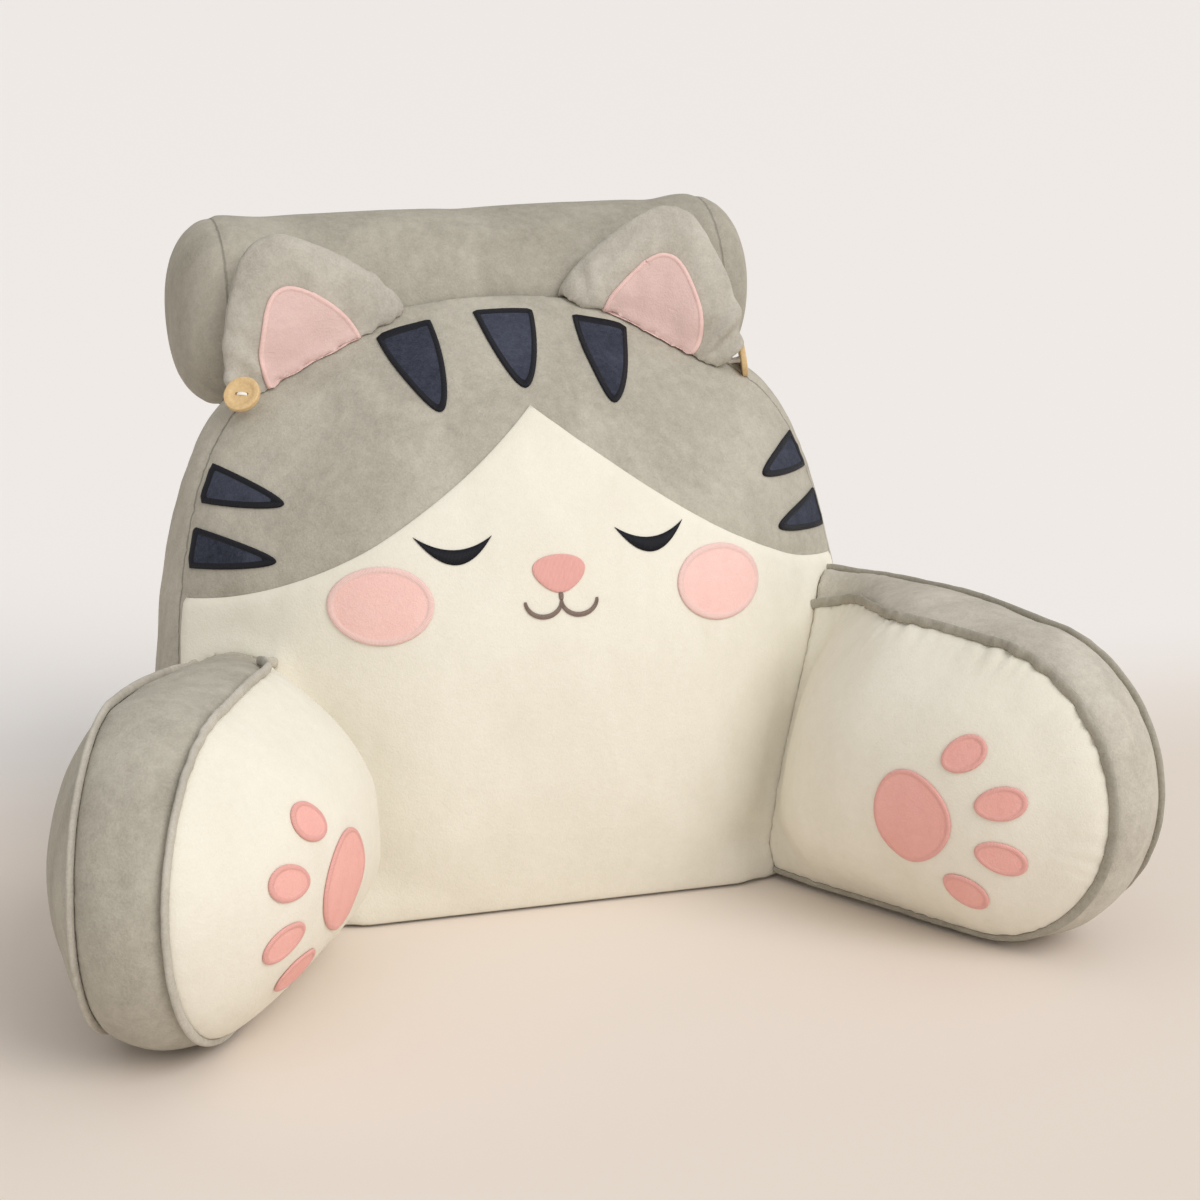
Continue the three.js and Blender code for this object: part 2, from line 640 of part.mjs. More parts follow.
const buttons = BUTTONS.map((row) => ({ name: row.name, disc: buttonGeometry(row, back) }));
const earCloth = layer(earGeometry(), GAP, GAP + PATCH);
for (const row of EARS) {
  const name = sideName(row.side);
  const place = earMatrix(row);
  const discs = buttons.map((button) => button.disc);
  add(`ear_${name}`, clearOf(earGeometry().applyMatrix4(place), back, roll, ...discs), GREY_PLUSH);
  const outline = closedOutline(EAR_LINING, 24, 6).map((p) => new THREE.Vector2(p.x + row.lining, p.y));
  const lining = geometryOf(earCloth.intersect(earCutter(outline))).applyMatrix4(place);
  add(`ear_lining_${name}`, clearOf(lining, back, ...discs), PINK_PLUSH);
}
for (const { name, disc } of buttons) add(name, clearOf(disc, back), WOOD);

export default cushion;
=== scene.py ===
"""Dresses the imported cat-shaped backrest cushion: stuffed plush, sewn panels, welts, patches and buttons.

Sizes are in millimetres and turn into metres when a mesh is made. The front faces -Y and the base rests
on Z = 0.
"""

import logging
import math
from dataclasses import dataclass, field
from enum import Enum
from functools import cache
from typing import Callable, Sequence

import bmesh
import bpy
import numpy as np
from mathutils import Matrix, Vector
from mathutils.bvhtree import BVHTree
from mathutils.geometry import delaunay_2d_cdt
from mathutils.kdtree import KDTree


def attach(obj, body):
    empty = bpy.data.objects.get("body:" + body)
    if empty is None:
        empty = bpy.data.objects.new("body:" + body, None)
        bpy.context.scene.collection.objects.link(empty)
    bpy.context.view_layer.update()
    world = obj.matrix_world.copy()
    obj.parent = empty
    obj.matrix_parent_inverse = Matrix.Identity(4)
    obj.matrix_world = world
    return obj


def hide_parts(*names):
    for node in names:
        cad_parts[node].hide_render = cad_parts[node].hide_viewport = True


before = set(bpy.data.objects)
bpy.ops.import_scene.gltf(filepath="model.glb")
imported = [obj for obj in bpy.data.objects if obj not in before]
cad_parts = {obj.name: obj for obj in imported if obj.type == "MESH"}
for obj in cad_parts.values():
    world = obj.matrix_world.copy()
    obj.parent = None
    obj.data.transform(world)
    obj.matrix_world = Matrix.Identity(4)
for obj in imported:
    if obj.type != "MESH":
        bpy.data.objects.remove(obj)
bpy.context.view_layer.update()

LOG = logging.getLogger("backrest")
MM = 0.001
BODY = "root"
# Attribute with each point's distance from its seam, from which the plush shaders paint crease shade
SEAM_OFFSET = "seam_offset"
CURVE_STEPS = 40
EGG_STEPS = 160
CRESCENT_STEPS = 60
BAND_STEPS = 40
Array = np.ndarray
Colour = tuple[float, float, float, float]
Faces = list[tuple[int, ...]]
Form = tuple[Array, Faces]
Pair = tuple[float, float]
Triple = tuple[float, float, float]
Table = tuple[Pair, ...]
Piece = bpy.types.Object
Pieces = Sequence[Piece]
Socket = bpy.types.NodeSocket
Trees = Sequence[BVHTree]


class Side(Enum):
    """The two sides of the cushion, as one who stands before it sees them."""

    LEFT = -1
    RIGHT = 1

    @property
    def word(self) -> str:
        """The side's name as the nodes spell it."""
        return self.name.lower()


class ArmSeam(Enum):
    """The two seams that run round an arm."""

    INNER = "inner"
    OUTER = "outer"


class Solver(Enum):
    """Blender's ways to work out a cut: for closed shapes alone, or for any."""

    MANIFOLD = "MANIFOLD"
    EXACT = "EXACT"


def smoothstep(value: Array, low: float, high: float) -> Array:
    """Eases from 0 at low to 1 at high."""
    share = np.clip((np.asarray(value, float) - low) / (high - low), 0.0, 1.0)
    return share * share * (3.0 - 2.0 * share)


def linear(*parts: int) -> Colour:
    """Turns a screen colour, in parts up to 255, into the linear one that shaders take."""
    shares = [part / 255.0 for part in parts]
    return (*(s / 12.92 if s <= 0.04045 else ((s + 0.055) / 1.055) ** 2.4 for s in shares), 1.0)


def unit(vectors: Array) -> Array:
    """Vectors, one a row, brought to a length of 1."""
    return vectors / np.linalg.norm(vectors, axis=1)[:, None]


def sideways(steps: Array) -> Array:
    """Unit vectors to the right of steps in a plane."""
    return unit(np.column_stack([steps[:, 1], -steps[:, 0]]))


def upright(flat: Array, depth: Array) -> Array:
    """Places (across, height) of an upright plane, each set at its depth."""
    return np.column_stack([flat[:, 0], depth, flat[:, 1]])


def closed(line: Array) -> Array:
    """A line with its first point once more at its end."""
    return np.vstack([line, line[:1]])


def run_along(line: Array) -> Array:
    """How far along a line each of its points lies."""
    return np.concatenate([[0.0], np.cumsum(np.linalg.norm(np.diff(line, axis=0), axis=1))])


def resample(line: Array, count: int) -> Array:
    """Places points at equal steps along a line.

    Args:
        line: Corner points of the line, one a row.
        count: Number of steps.

    Returns:
        count + 1 points, the first and last of them the line's own ends.
    """
    reach = run_along(line)
    stops = np.linspace(0.0, reach[-1], count + 1)
    return np.stack([np.interp(stops, reach, line[:, k]) for k in range(line.shape[1])], axis=1)


def catmull_line(knots: Array, count: int) -> Array:
    """Runs a smooth curve through knots.

    Args:
        knots: Points that the curve passes, one a row.
        count: Number of equal steps along the curve.

    Returns:
        count + 1 points of the curve.
    """
    ends = np.vstack([knots[:1], knots, knots[-1:]])
    t = np.linspace(0.0, 1.0, CURVE_STEPS, endpoint=False)[:, None]
    stretches = []
    for before, start, stop, after in zip(ends, ends[1:], ends[2:], ends[3:]):
        leave = (stop - before) / 2.0
        arrive = (after - start) / 2.0
        cubic = 2.0 * start - 2.0 * stop + leave + arrive
        square = -3.0 * start + 3.0 * stop - 2.0 * leave - arrive
        stretches.append(cubic * t**3 + square * t**2 + leave * t + start)
    return resample(np.vstack([*stretches, knots[-1:]]), count)


def close_straight(line: Array, count: int) -> Array:
    """A line closed by equal steps straight from its end back to its start."""
    steps = np.linspace(0.0, 1.0, count + 1)[1:-1, None]
    return np.vstack([line, line[-1] + (line[0] - line[-1]) * steps])


def closed_outline(rows: Sequence[Pair], arch_count: int, foot_count: int) -> Array:
    """Mirrors the right half of an outline and closes it along its foot.

    Args:
        rows: (height, half width) from the foot to the top.
        arch_count: Steps from the right foot over the top to the left foot.
        foot_count: Steps along the foot.

    Returns:
        The outline's points as (across, height).
    """
    right = np.array([(half, height) for height, half in rows], float)
    left = right[:-1][::-1] * (-1.0, 1.0)
    return close_straight(catmull_line(np.vstack([right, left]), arch_count), foot_count)


@dataclass
class Outline:
    """A closed outline that every ray from its middle crosses once."""

    points: Array
    middle: Array

    def __post_init__(self) -> None:
        """Sorts the outline by its angle about the middle."""
        rays = self.points - self.middle
        angles = np.arctan2(rays[:, 1], rays[:, 0])
        order = np.argsort(angles)
        self._angles = angles[order]
        self._radii = np.linalg.norm(rays, axis=1)[order]

    def reach(self, places: Array) -> tuple[Array, Array]:
        """Finds how far places lie towards the outline.

        Args:
            places: Points in the outline's plane, one a row.

        Returns:
            The share of the way from the middle to the outline, and the outline's point beyond each place.
        """
        rays = places - self.middle
        length = np.linalg.norm(rays, axis=1)
        angles = np.arctan2(rays[:, 1], rays[:, 0])
        radii = np.interp(angles, self._angles, self._radii, period=2.0 * math.pi)
        way = np.stack([np.cos(angles), np.sin(angles)], axis=1)
        return length / radii, self.middle + way * radii[:, None]

    def scaled(self, share: float) -> Array:
        """The outline drawn in towards its middle."""
        return self.middle + (self.points - self.middle) * share


@dataclass
class SeamReading:
    """Each place's distance from a seam, how far along the seam its nearest point is, and that point."""

    distance: Array
    along: Array
    point: Array

    def near(self, reach: Array | float) -> Array:
        """Eases from 1 on the seam to nothing well beyond a reach."""
        return np.exp(-((self.distance / reach) ** 2))

    def relief(self, pucker: Triple, groove: Pair, seed: int) -> Array:
        """Height of the puckers and of the groove that the seam leaves.

        Args:
            pucker: Height, reach and usual spacing of the puckers.
            groove: Depth and reach of the groove.
            seed: Picks one run of puckers of many.

        Returns:
            Heights.
        """
        rise, reach, wave = pucker
        depth, width = groove
        return rise * self.near(reach) * ripple(self.along, wave, seed) - depth * self.near(width)


class SeamLine:
    """A sewn line in space, with the distance to it and the place along it."""

    def __init__(self, points: Array) -> None:
        """Keeps the line's points and their search tree.

        Args:
            points: The line's points, one a row.
        """
        self.points = points
        self.along = run_along(points)
        self._tree = KDTree(len(points))
        for index, point in enumerate(points):
            self._tree.insert(point, index)
        self._tree.balance()

    def nearest(self, places: Array) -> SeamReading:
        """Measures places against the line.

        Args:
            places: Points, one a row.

        Returns:
            What was measured.
        """
        found = [self._tree.find(place) for place in places]
        index = np.array([row[1] for row in found])
        return SeamReading(np.array([row[2] for row in found]), self.along[index], self.points[index])


def ripple(along: Array, wave: float, seed: int) -> Array:
    """An uneven wave, such as the puckers that gathered cloth makes along a seam.

    Args:
        along: Place along the seam.
        wave: Usual distance from crest to crest.
        seed: Picks one wave of many.

    Returns:
        Heights from -1 to 1.
    """
    phase = np.random.default_rng(seed).uniform(0.0, 2.0 * math.pi, 4)
    drift = 1.5 * np.sin(2.0 * math.pi * along / (4.3 * wave) + phase[0])
    crest = np.cos(2.0 * math.pi * along / wave + drift + phase[1])
    swell = 0.55 + 0.45 * np.sin(2.0 * math.pi * along / (6.7 * wave) + phase[2])
    small = 0.3 * np.cos(2.0 * math.pi * along / (0.57 * wave) + drift + phase[3])
    return swell * (crest + small) / 1.3


def dents(places: Array, wave: float, seed: int) -> Array:
    """Soft hollows and swells of a stuffed surface.

    Args:
        places: Points, one a row.
        wave: Usual distance between swells.
        seed: Picks one pattern of many.

    Returns:
        Heights of about -1 to 1.
    """
    draw = np.random.default_rng(seed)
    total = np.zeros(len(places))
    waves = 10
    for _ in range(waves):
        way = draw.normal(size=3)
        way *= 2.0 * math.pi / (wave * draw.uniform(0.75, 1.4) * np.linalg.norm(way))
        total += np.sin(places @ way + draw.uniform(0.0, 2.0 * math.pi))
    return total / math.sqrt(waves)


def loft(rings: Sequence[Array], first: Array, last: Array) -> Form:
    """Closes a surface through rings of equal length.

    Args:
        rings: Rings of points, each the same number of rows.
        first: Pole before the first ring.
        last: Pole after the last ring.

    Returns:
        The points and the faces of the closed surface.
    """
    count = len(rings[0])
    points = np.vstack([*rings, first[None], last[None]])
    low, high = len(points) - 2, len(points) - 1
    tail = (len(rings) - 1) * count
    faces: Faces = []
    for j in range(count):
        k = (j + 1) % count
        faces.append((low, k, j))
        faces.append((high, tail + j, tail + k))
        for base in range(0, tail, count):
            faces.append((base + j, base + k, base + count + k, base + count + j))
    return points, faces


def link_object(name: str, data: bpy.types.ID) -> Piece:
    """Makes an object of a mesh, a light or a camera.

    Args:
        name: Name of the object.
        data: What the object shows.

    Returns:
        The object, linked to the scene.
    """
    made = bpy.data.objects.new(name, data)
    bpy.context.scene.collection.objects.link(made)
    return made


def mesh_object(name: str, points: Array, faces: Faces) -> Piece:
    """Makes an object of a mesh with its faces turned outwards.

    Args:
        name: Name of the object and its mesh.
        points: Corners in millimetres.
        faces: Corner indices of each face.

    Returns:
        The object, linked to the scene.
    """
    mesh = bpy.data.meshes.new(name)
    mesh.from_pydata((points * MM).tolist(), [], faces)
    shell = bmesh.new()
    shell.from_mesh(mesh)
    bmesh.ops.recalc_face_normals(shell, faces=shell.faces)
    shell.to_mesh(mesh)
    shell.free()
    return link_object(name, mesh)


def corner_values(rows: bpy.types.bpy_prop_collection, label: str) -> Array:
    """Reads one vector at each corner of a mesh.

    Args:
        rows: The mesh's list with a row for each corner.
        label: Name of the vector in a row.

    Returns:
        The vectors, one a row.
    """
    flat = np.empty(len(rows) * 3, np.float32)
    rows.foreach_get(label, flat)
    return flat.reshape(-1, 3).astype(float)


def coordinates(piece: Piece) -> Array:
    """The corners of a piece's mesh in millimetres."""
    return corner_values(piece.data.vertices, "co") / MM


def set_coordinates(piece: Piece, points: Array) -> None:
    """Moves the corners of a piece's mesh to points in millimetres."""
    piece.data.vertices.foreach_set("co", (points * MM).astype(np.float32).ravel())
    piece.data.update()


def corner_normals(piece: Piece) -> Array:
    """The smooth normal at each corner of a piece's mesh."""
    return corner_values(piece.data.vertex_normals, "vector")


def only(piece: Piece) -> None:
    """Makes a piece the only one selected, and the active one.

    Args:
        piece: The piece.
    """
    bpy.ops.object.select_all(action="DESELECT")
    piece.select_set(True)
    bpy.context.view_layer.objects.active = piece


def apply_modifier(piece: Piece, modifier: bpy.types.Modifier) -> None:
    """Turns a modifier's result into the piece's own mesh."""
    only(piece)
    bpy.ops.object.modifier_apply(modifier=modifier.name)


def swollen_copy(piece: Piece, amount: float) -> Piece:
    """Copies a piece and moves its surface outwards.

    Args:
        piece: The piece to copy.
        amount: Distance outwards.

    Returns:
        The copy, an object of its own.
    """
    copy = link_object(piece.name + "_swollen", piece.data.copy())
    set_coordinates(copy, coordinates(copy) + corner_normals(copy) * amount)
    return copy


def remove(piece: Piece) -> None:
    """Deletes a mesh, and the object that shows it with it."""
    bpy.data.meshes.remove(piece.data)


def drop_chips(piece: Piece) -> None:
    """Deletes the loose chips that a cut leaves beside a piece's largest part.

    Args:
        piece: The piece that was cut.
    """
    shell = bmesh.new()
    shell.from_mesh(piece.data)
    parts = []
    for start in shell.verts:
        if start.tag:
            continue
        start.tag = True
        part, ends = [], [start]
        while ends:
            corner = ends.pop()
            part.append(corner)
            beside = [edge.other_vert(corner) for edge in corner.link_edges]
            for other in [vert for vert in beside if not vert.tag]:
                other.tag = True
                ends.append(other)
        parts.append(part)
    parts.sort(key=len)
    chips = [corner for part in parts[:-1] for corner in part]
    bmesh.ops.delete(shell, geom=chips, context="VERTS")
    shell.to_mesh(piece.data)
    shell.free()


def cut_out(piece: Piece, cutter: Piece, solver: Solver) -> None:
    """Cuts an object's shape out of a piece, and deletes that object.

    Args:
        piece: The piece that is cut.
        cutter: The object whose shape is cut out.
        solver: How the cut is worked out.
    """
    modifier = piece.modifiers.new("cut", "BOOLEAN")
    modifier.operation = "DIFFERENCE"
    modifier.solver = solver.value
    modifier.object = cutter
    apply_modifier(piece, modifier)
    remove(cutter)


def cut_clear(piece: Piece, others: Pieces, gap: float) -> None:
    """Cuts room for other pieces out of a piece.

    Args:
        piece: The piece that is cut.
        others: Pieces that it stops against.
        gap: Free distance that is left to them.
    """
    for other in others:
        cut_out(piece, swollen_copy(other, gap), Solver.MANIFOLD)
    if others:
        drop_chips(piece)


def dress(piece: Piece, *finishes: "Finish") -> None:
    """Gives a piece its finishes and smooth faces, and drops slots that a cut has left behind.

    Args:
        piece: The piece.
        *finishes: The finishes in the order of the faces' slots.
    """
    slots = [min(face.material_index, len(finishes) - 1) for face in piece.data.polygons]
    piece.data.materials.clear()
    for finish in finishes:
        piece.data.materials.append(finish.material())
    for face, slot in zip(piece.data.polygons, slots):
        face.material_index = slot
        face.use_smooth = True


def tree_of(piece: Piece) -> BVHTree:
    """A search tree of a piece's faces, in metres."""
    corners = [v.co.copy() for v in piece.data.vertices]
    return BVHTree.FromPolygons(corners, [tuple(p.vertices) for p in piece.data.polygons])


def distance_to(tree: BVHTree, points: Array, limit: float) -> Array:
    """Measures points against a surface.

    Args:
        tree: The surface's search tree.
        points: Points in millimetres.
        limit: Distance in millimetres beyond which nothing is looked for.

    Returns:
        Distances in millimetres, at most the limit.
    """
    result = np.full(len(points), limit)
    for index, point in enumerate(points):
        gap = tree.find_nearest(point * MM, limit * MM)[3]
        if gap is not None:
            result[index] = gap / MM
    return result


def settle(piece: Piece, slot: str, nodes: Sequence[str]) -> None:
    """Fixes a finished piece to the body, hides the CAD nodes that it stands for, and logs its slot.

    Args:
        piece: The finished piece.
        slot: The record's material slot.
        nodes: CAD nodes that the piece stands for.
    """
    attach(piece, BODY)
    if nodes:
        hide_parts(*nodes)
    LOG.info("%s: %d faces, slot %s", piece.name, len(piece.data.polygons), slot)


class ShaderTree:
    """Adds and joins nodes in one shader tree."""

    def __init__(self, tree: bpy.types.NodeTree) -> None:
        """Takes the tree to work in."""
        self.tree = tree

    def fill(self, node: bpy.types.Node, values: dict[str | int, object]) -> None:
        """Sets or joins the inputs of a node.

        Args:
            node: The node.
            values: Values by an input's name or number; an output there is joined instead.
        """
        for key, value in values.items():
            if isinstance(value, Socket):
                self.tree.links.new(value, node.inputs[key])
            else:
                node.inputs[key].default_value = value

    def add(
        self, kind: str, values: dict[str | int, object] | None = None, **settings: object
    ) -> bpy.types.Node:
        """Adds a node.

        Args:
            kind: Blender's type of the node, without ShaderNode.
            values: Its inputs, as fill takes them.
            **settings: Properties of the node.

        Returns:
            The node.
        """
        node = self.tree.nodes.new("ShaderNode" + kind)
        for name, value in settings.items():
            setattr(node, name, value)
        self.fill(node, values or {})
        return node

    def noise(self, place: object, scale: object, detail: float, **more: float) -> Socket:
        """Adds a noise and gives its value."""
        values = {"Vector": place, "Scale": scale, "Detail": detail, **more}
        return self.add("TexNoise", values).outputs[0]

    def math(self, operation: str, first: object, second: object = 0.0) -> Socket:
        """Adds a sum, product or the like of two values."""
        return self.add("Math", {0: first, 1: second}, operation=operation).outputs[0]

    def weighed(self, *shares: tuple[object, float]) -> Socket:
        """Adds up values, each times its weight.

        Args:
            *shares: Pairs of a value and its weight.

        Returns:
            The sum.
        """
        total: object = 0.0
        for value, weight in shares:
            total = self.math("ADD", self.math("MULTIPLY", value, weight), total)
        return total

    def spread(
        self, value: object, low: float, high: float, start: float = 0.0, stop: float = 1.0
    ) -> Socket:
        """Maps a value from one range onto another, and holds it inside."""
        values = {"Value": value, "From Min": low, "From Max": high, "To Min": start, "To Max": stop}
        return self.add("MapRange", values).outputs[0]

    def mix(self, share: object, first: object, second: object) -> Socket:
        """Mixes two colours, which are the node's inputs 6 and 7."""
        return self.add("Mix", {0: share, 6: first, 7: second}, data_type="RGBA").outputs[2]


class ShaderGroup(ShaderTree):
    """A shader node group that puts out a colour and a height."""

    def __init__(self, name: str, **inputs: str) -> None:
        """Makes the group with its sockets.

        Args:
            name: Name of the group.
            **inputs: Type of each input.
        """
        super().__init__(bpy.data.node_groups.new(name, "ShaderNodeTree"))
        outputs = {"Colour": "Color", "Height": "Float"}
        for way, sockets in (("INPUT", inputs), ("OUTPUT", outputs)):
            for label, kind in sockets.items():
                self.tree.interface.new_socket(label, in_out=way, socket_type="NodeSocket" + kind)
        self.given = self.tree.nodes.new("NodeGroupInput").outputs

    def close(self, colour: Socket, height: Socket) -> bpy.types.NodeTree:
        """Joins what the group puts out, and gives its tree."""
        self.fill(self.tree.nodes.new("NodeGroupOutput"), {"Colour": colour, "Height": height})
        return self.tree


@cache
def brushed_pile_group() -> bpy.types.NodeTree:
    """Short pile, brushed this way and that: the colour of tips and roots, and the height of the tufts.

    Returns:
        The group, which is built once.
    """
    work = ShaderGroup("brushed_pile", Root="Color", Tip="Color", Fibre="Float", Brush="Float")
    given = work.given
    place = work.add("TexCoord").outputs["Object"]
    fibre = work.noise(place, given["Fibre"], 3.0, Roughness=0.6)
    tuft_scale = work.math("MULTIPLY", given["Fibre"], 0.24)
    tuft = work.noise(place, tuft_scale, 2.0, Roughness=0.55, Distortion=0.4)
    combed = work.add("Mapping", {"Vector": place, "Rotation": (0.5, 0.35, 0.6), "Scale": (1.0, 1.0, 0.4)})
    brush = work.noise(combed.outputs[0], given["Brush"], 3.0, Roughness=0.55, Distortion=0.8)
    stroke_scale = work.math("MULTIPLY", given["Brush"], 5.0)
    stroke = work.noise(combed.outputs[0], stroke_scale, 2.0, Roughness=0.5, Distortion=0.5)
    small = [work.spread(value, 0.3, 0.7) for value in (stroke, tuft, fibre)]
    shares = zip((work.spread(brush, 0.36, 0.64), *small), (0.34, 0.14, 0.22, 0.3))
    colour = work.mix(work.weighed(*shares), given["Root"], given["Tip"])
    return work.close(colour, work.weighed((tuft, 0.45), (fibre, 0.55)))


@cache
def satin_stitch_group() -> bpy.types.NodeTree:
    """Close parallel threads that run across a band: their height, and the shade between them.

    Returns:
        The group, which is built once.
    """
    work = ShaderGroup("satin_stitch", Shade="Color", Light="Color", Pitch="Float")
    place = work.add("UVMap", uv_map="stitches").outputs["UV"]
    run = work.add("SeparateXYZ", {"Vector": place}).outputs["X"]
    wobble = work.noise(place, 260.0, 2.0)
    along = work.math("ADD", run, work.math("MULTIPLY", wobble, 0.0006))
    wave = work.math("SINE", work.math("MULTIPLY", along, work.given["Pitch"]))
    height = work.spread(wave, -1.0, 1.0)
    tone = work.weighed((wobble, 0.5), (height, 0.65))
    return work.close(work.mix(tone, work.given["Shade"], work.given["Light"]), height)


@cache
def wood_grain_group() -> bpy.types.NodeTree:
    """Pale straight-grained wood: the colour of its rings and pores, and their height.

    Returns:
        The group, which is built once.
    """
    work = ShaderGroup("wood_grain", Early="Color", Late="Color")
    place = work.add("TexCoord").outputs["Object"]
    drawn = work.add("Mapping", {"Vector": place, "Rotation": (0.3, 0.9, 0.2), "Scale": (1.0, 0.12, 1.0)})
    rings = work.noise(drawn.outputs[0], 420.0, 3.0, Distortion=1.2)
    pores = work.noise(drawn.outputs[0], 2600.0, 2.0)
    tone = work.spread(rings, 0.35, 0.65, 0.0, 0.4)
    tone = work.math("ADD", tone, work.spread(pores, 0.55, 0.75, 0.0, 0.1))
    colour = work.mix(tone, work.given["Early"], work.given["Late"])
    return work.close(colour, work.math("SUBTRACT", rings, pores))


class Finish:
    """A finish that makes its material once; its bump has a strength, and a depth in metres."""

    name: str
    bump: float = 0.0
    bump_depth: float = 0.0

    @cache
    def material(self) -> bpy.types.Material:
        """The finish's material, made when it is first asked for.

        Returns:
            The material.
        """
        made = bpy.data.materials.new(self.name)
        made.use_nodes = True
        self.dress(ShaderTree(made.node_tree), made.node_tree.nodes["Principled BSDF"])
        return made

    def dress(self, work: ShaderTree, shader: bpy.types.Node) -> None:
        """Sets the shader and joins what varies over the surface."""
        raise NotImplementedError

    def wire(self, work: ShaderTree, shader: bpy.types.Node, colour: Socket, height: Socket) -> None:
        """Joins a colour and a bumped height to a shader."""
        bump = work.add("Bump", {"Height": height, "Strength": self.bump, "Distance": self.bump_depth})
        work.fill(shader, {"Base Color": colour, "Normal": bump.outputs["Normal"]})


@dataclass(frozen=True)
class PlushFinish(Finish):
    """Short-pile plush."""

    name: str
    root: Colour
    tip: Colour
    fibre: float = 620.0
    brush: float = 15.0
    bump: float = 0.55
    bump_depth: float = 0.0016
    sheen: float = 0.12
    # sewn: strength of the painted crease shade along seams; seam_dark and seam_fade: where it is full and
    # where it ends; seam_shade: how dark it is
    sewn: float = 0.0
    seam_dark: float = 0.0002
    seam_fade: float = 0.0015
    seam_shade: float = 0.42

    def dress(self, work: ShaderTree, shader: bpy.types.Node) -> None:
        """Sets a matt shader with the sheen of fibre tips, and painted crease shade: a dark line along the
        sewn seams.

        Args:
            work: The material's tree.
            shader: Its shader.
        """
        values = {"Root": self.root, "Tip": self.tip, "Fibre": self.fibre, "Brush": self.brush}
        pile = work.add("Group", values, node_tree=brushed_pile_group())
        work.fill(shader, {"Roughness": 0.92, "Specular IOR Level": 0.18})
        sheen = {"Sheen Weight": self.sheen, "Sheen Roughness": 0.45, "Sheen Tint": self.tip}
        work.fill(shader, sheen)
        colour, height = pile.outputs["Colour"], pile.outputs["Height"]
        # Painted crease shade: the pile colour darkens towards each seam, and the bump sinks there
        if self.sewn:
            offset = work.add("Attribute", attribute_name=SEAM_OFFSET).outputs["Fac"]
            line = work.spread(work.math("ABSOLUTE", offset), self.seam_dark, self.seam_fade, 1.0, 0.0)
            shade = tuple(self.seam_shade * c for c in self.root[:3]) + (1.0,)
            colour = work.mix(work.math("MULTIPLY", line, self.sewn), colour, shade)
            height = work.math("SUBTRACT", height, line)
        self.wire(work, shader, colour, height)


@dataclass(frozen=True)
class SatinFinish(Finish):
    """Embroidery thread laid side by side."""

    name: str
    shade: Colour
    light: Colour
    pitch_mm: float = 0.95
    bump: float = 0.6
    bump_depth: float = 0.0004

    def dress(self, work: ShaderTree, shader: bpy.types.Node) -> None:
        """Sets the soft gloss of rayon thread.

        Args:
            work: The material's tree.
            shader: Its shader.
        """
        values = {"Shade": self.shade, "Light": self.light, "Pitch": 2.0 * math.pi / (self.pitch_mm * MM)}
        stitch = work.add("Group", values, node_tree=satin_stitch_group()).outputs
        work.fill(shader, {"Roughness": 0.52, "Specular IOR Level": 0.25})
        self.wire(work, shader, stitch["Colour"], stitch["Height"])


@dataclass(frozen=True)
class WoodFinish(Finish):
    """Turned pale wood under a thin oil."""

    name: str
    early: Colour
    late: Colour
    bump: float = 0.08
    bump_depth: float = 0.0002

    def dress(self, work: ShaderTree, shader: bpy.types.Node) -> None:
        """Sets a satin wood surface.

        Args:
            work: The material's tree.
            shader: Its shader.
        """
        values = {"Early": self.early, "Late": self.late}
        grain = work.add("Group", values, node_tree=wood_grain_group()).outputs
        work.fill(shader, {"Roughness": 0.48, "Coat Weight": 0.12})
        self.wire(work, shader, grain["Colour"], grain["Height"])


@dataclass(frozen=True)
class FloorFinish(Finish):
    """Plain pale matt floor."""

    name: str
    colour: Colour
    far: Colour
    pale_from: float = 0.05
    pale_to: float = 0.55

    def dress(self, work: ShaderTree, shader: bpy.types.Node) -> None:
        """Sets a matt surface that grows paler behind the object.

        Args:
            work: The material's tree.
            shader: Its shader.
        """
        place = work.add("TexCoord").outputs["Object"]
        depth = work.add("SeparateXYZ", {"Vector": place}).outputs["Y"]
        stops = {"Value": depth, "From Min": self.pale_from, "From Max": self.pale_to}
        behind = work.add("MapRange", stops, interpolation_type="SMOOTHSTEP").outputs[0]
        tone = work.mix(behind, self.colour, self.far)
        work.fill(shader, {"Base Color": tone, "Roughness": 0.9, "Specular IOR Level": 0.1})


# sewn sets how strong the painted crease shade along the seams is
GREY_PLUSH = PlushFinish("grey_pile", linear(156, 151, 139), linear(200, 195, 182), sewn=0.6)
# Painted light: a lighter copy of the grey plush for the right arm, which stands lit
LIT_GREY_PLUSH = PlushFinish("painted_light_grey_pile", linear(169, 163, 151), linear(215, 209, 197), sewn=0.6)
# Painted shade: the roll's plush is a darker copy of the grey, standing for the shade behind the cap and ears
SHADED_ROLL_PLUSH = PlushFinish("painted_shade_roll_pile", linear(149, 144, 132), linear(191, 186, 173), sewn=0.4)
# Painted light: the ears' plush is a lighter copy of the grey, so that their lit fronts stand out from the
# roll
LIT_EAR_PLUSH = PlushFinish("ear_pile", linear(163, 158, 147), linear(208, 203, 192), sewn=0.4)
# Painted light: the left arm's welts in a lighter copy of the grey, as if catching the light
LIT_WELT_PLUSH = PlushFinish("painted_light_welt_pile", LIT_EAR_PLUSH.root, LIT_EAR_PLUSH.tip)
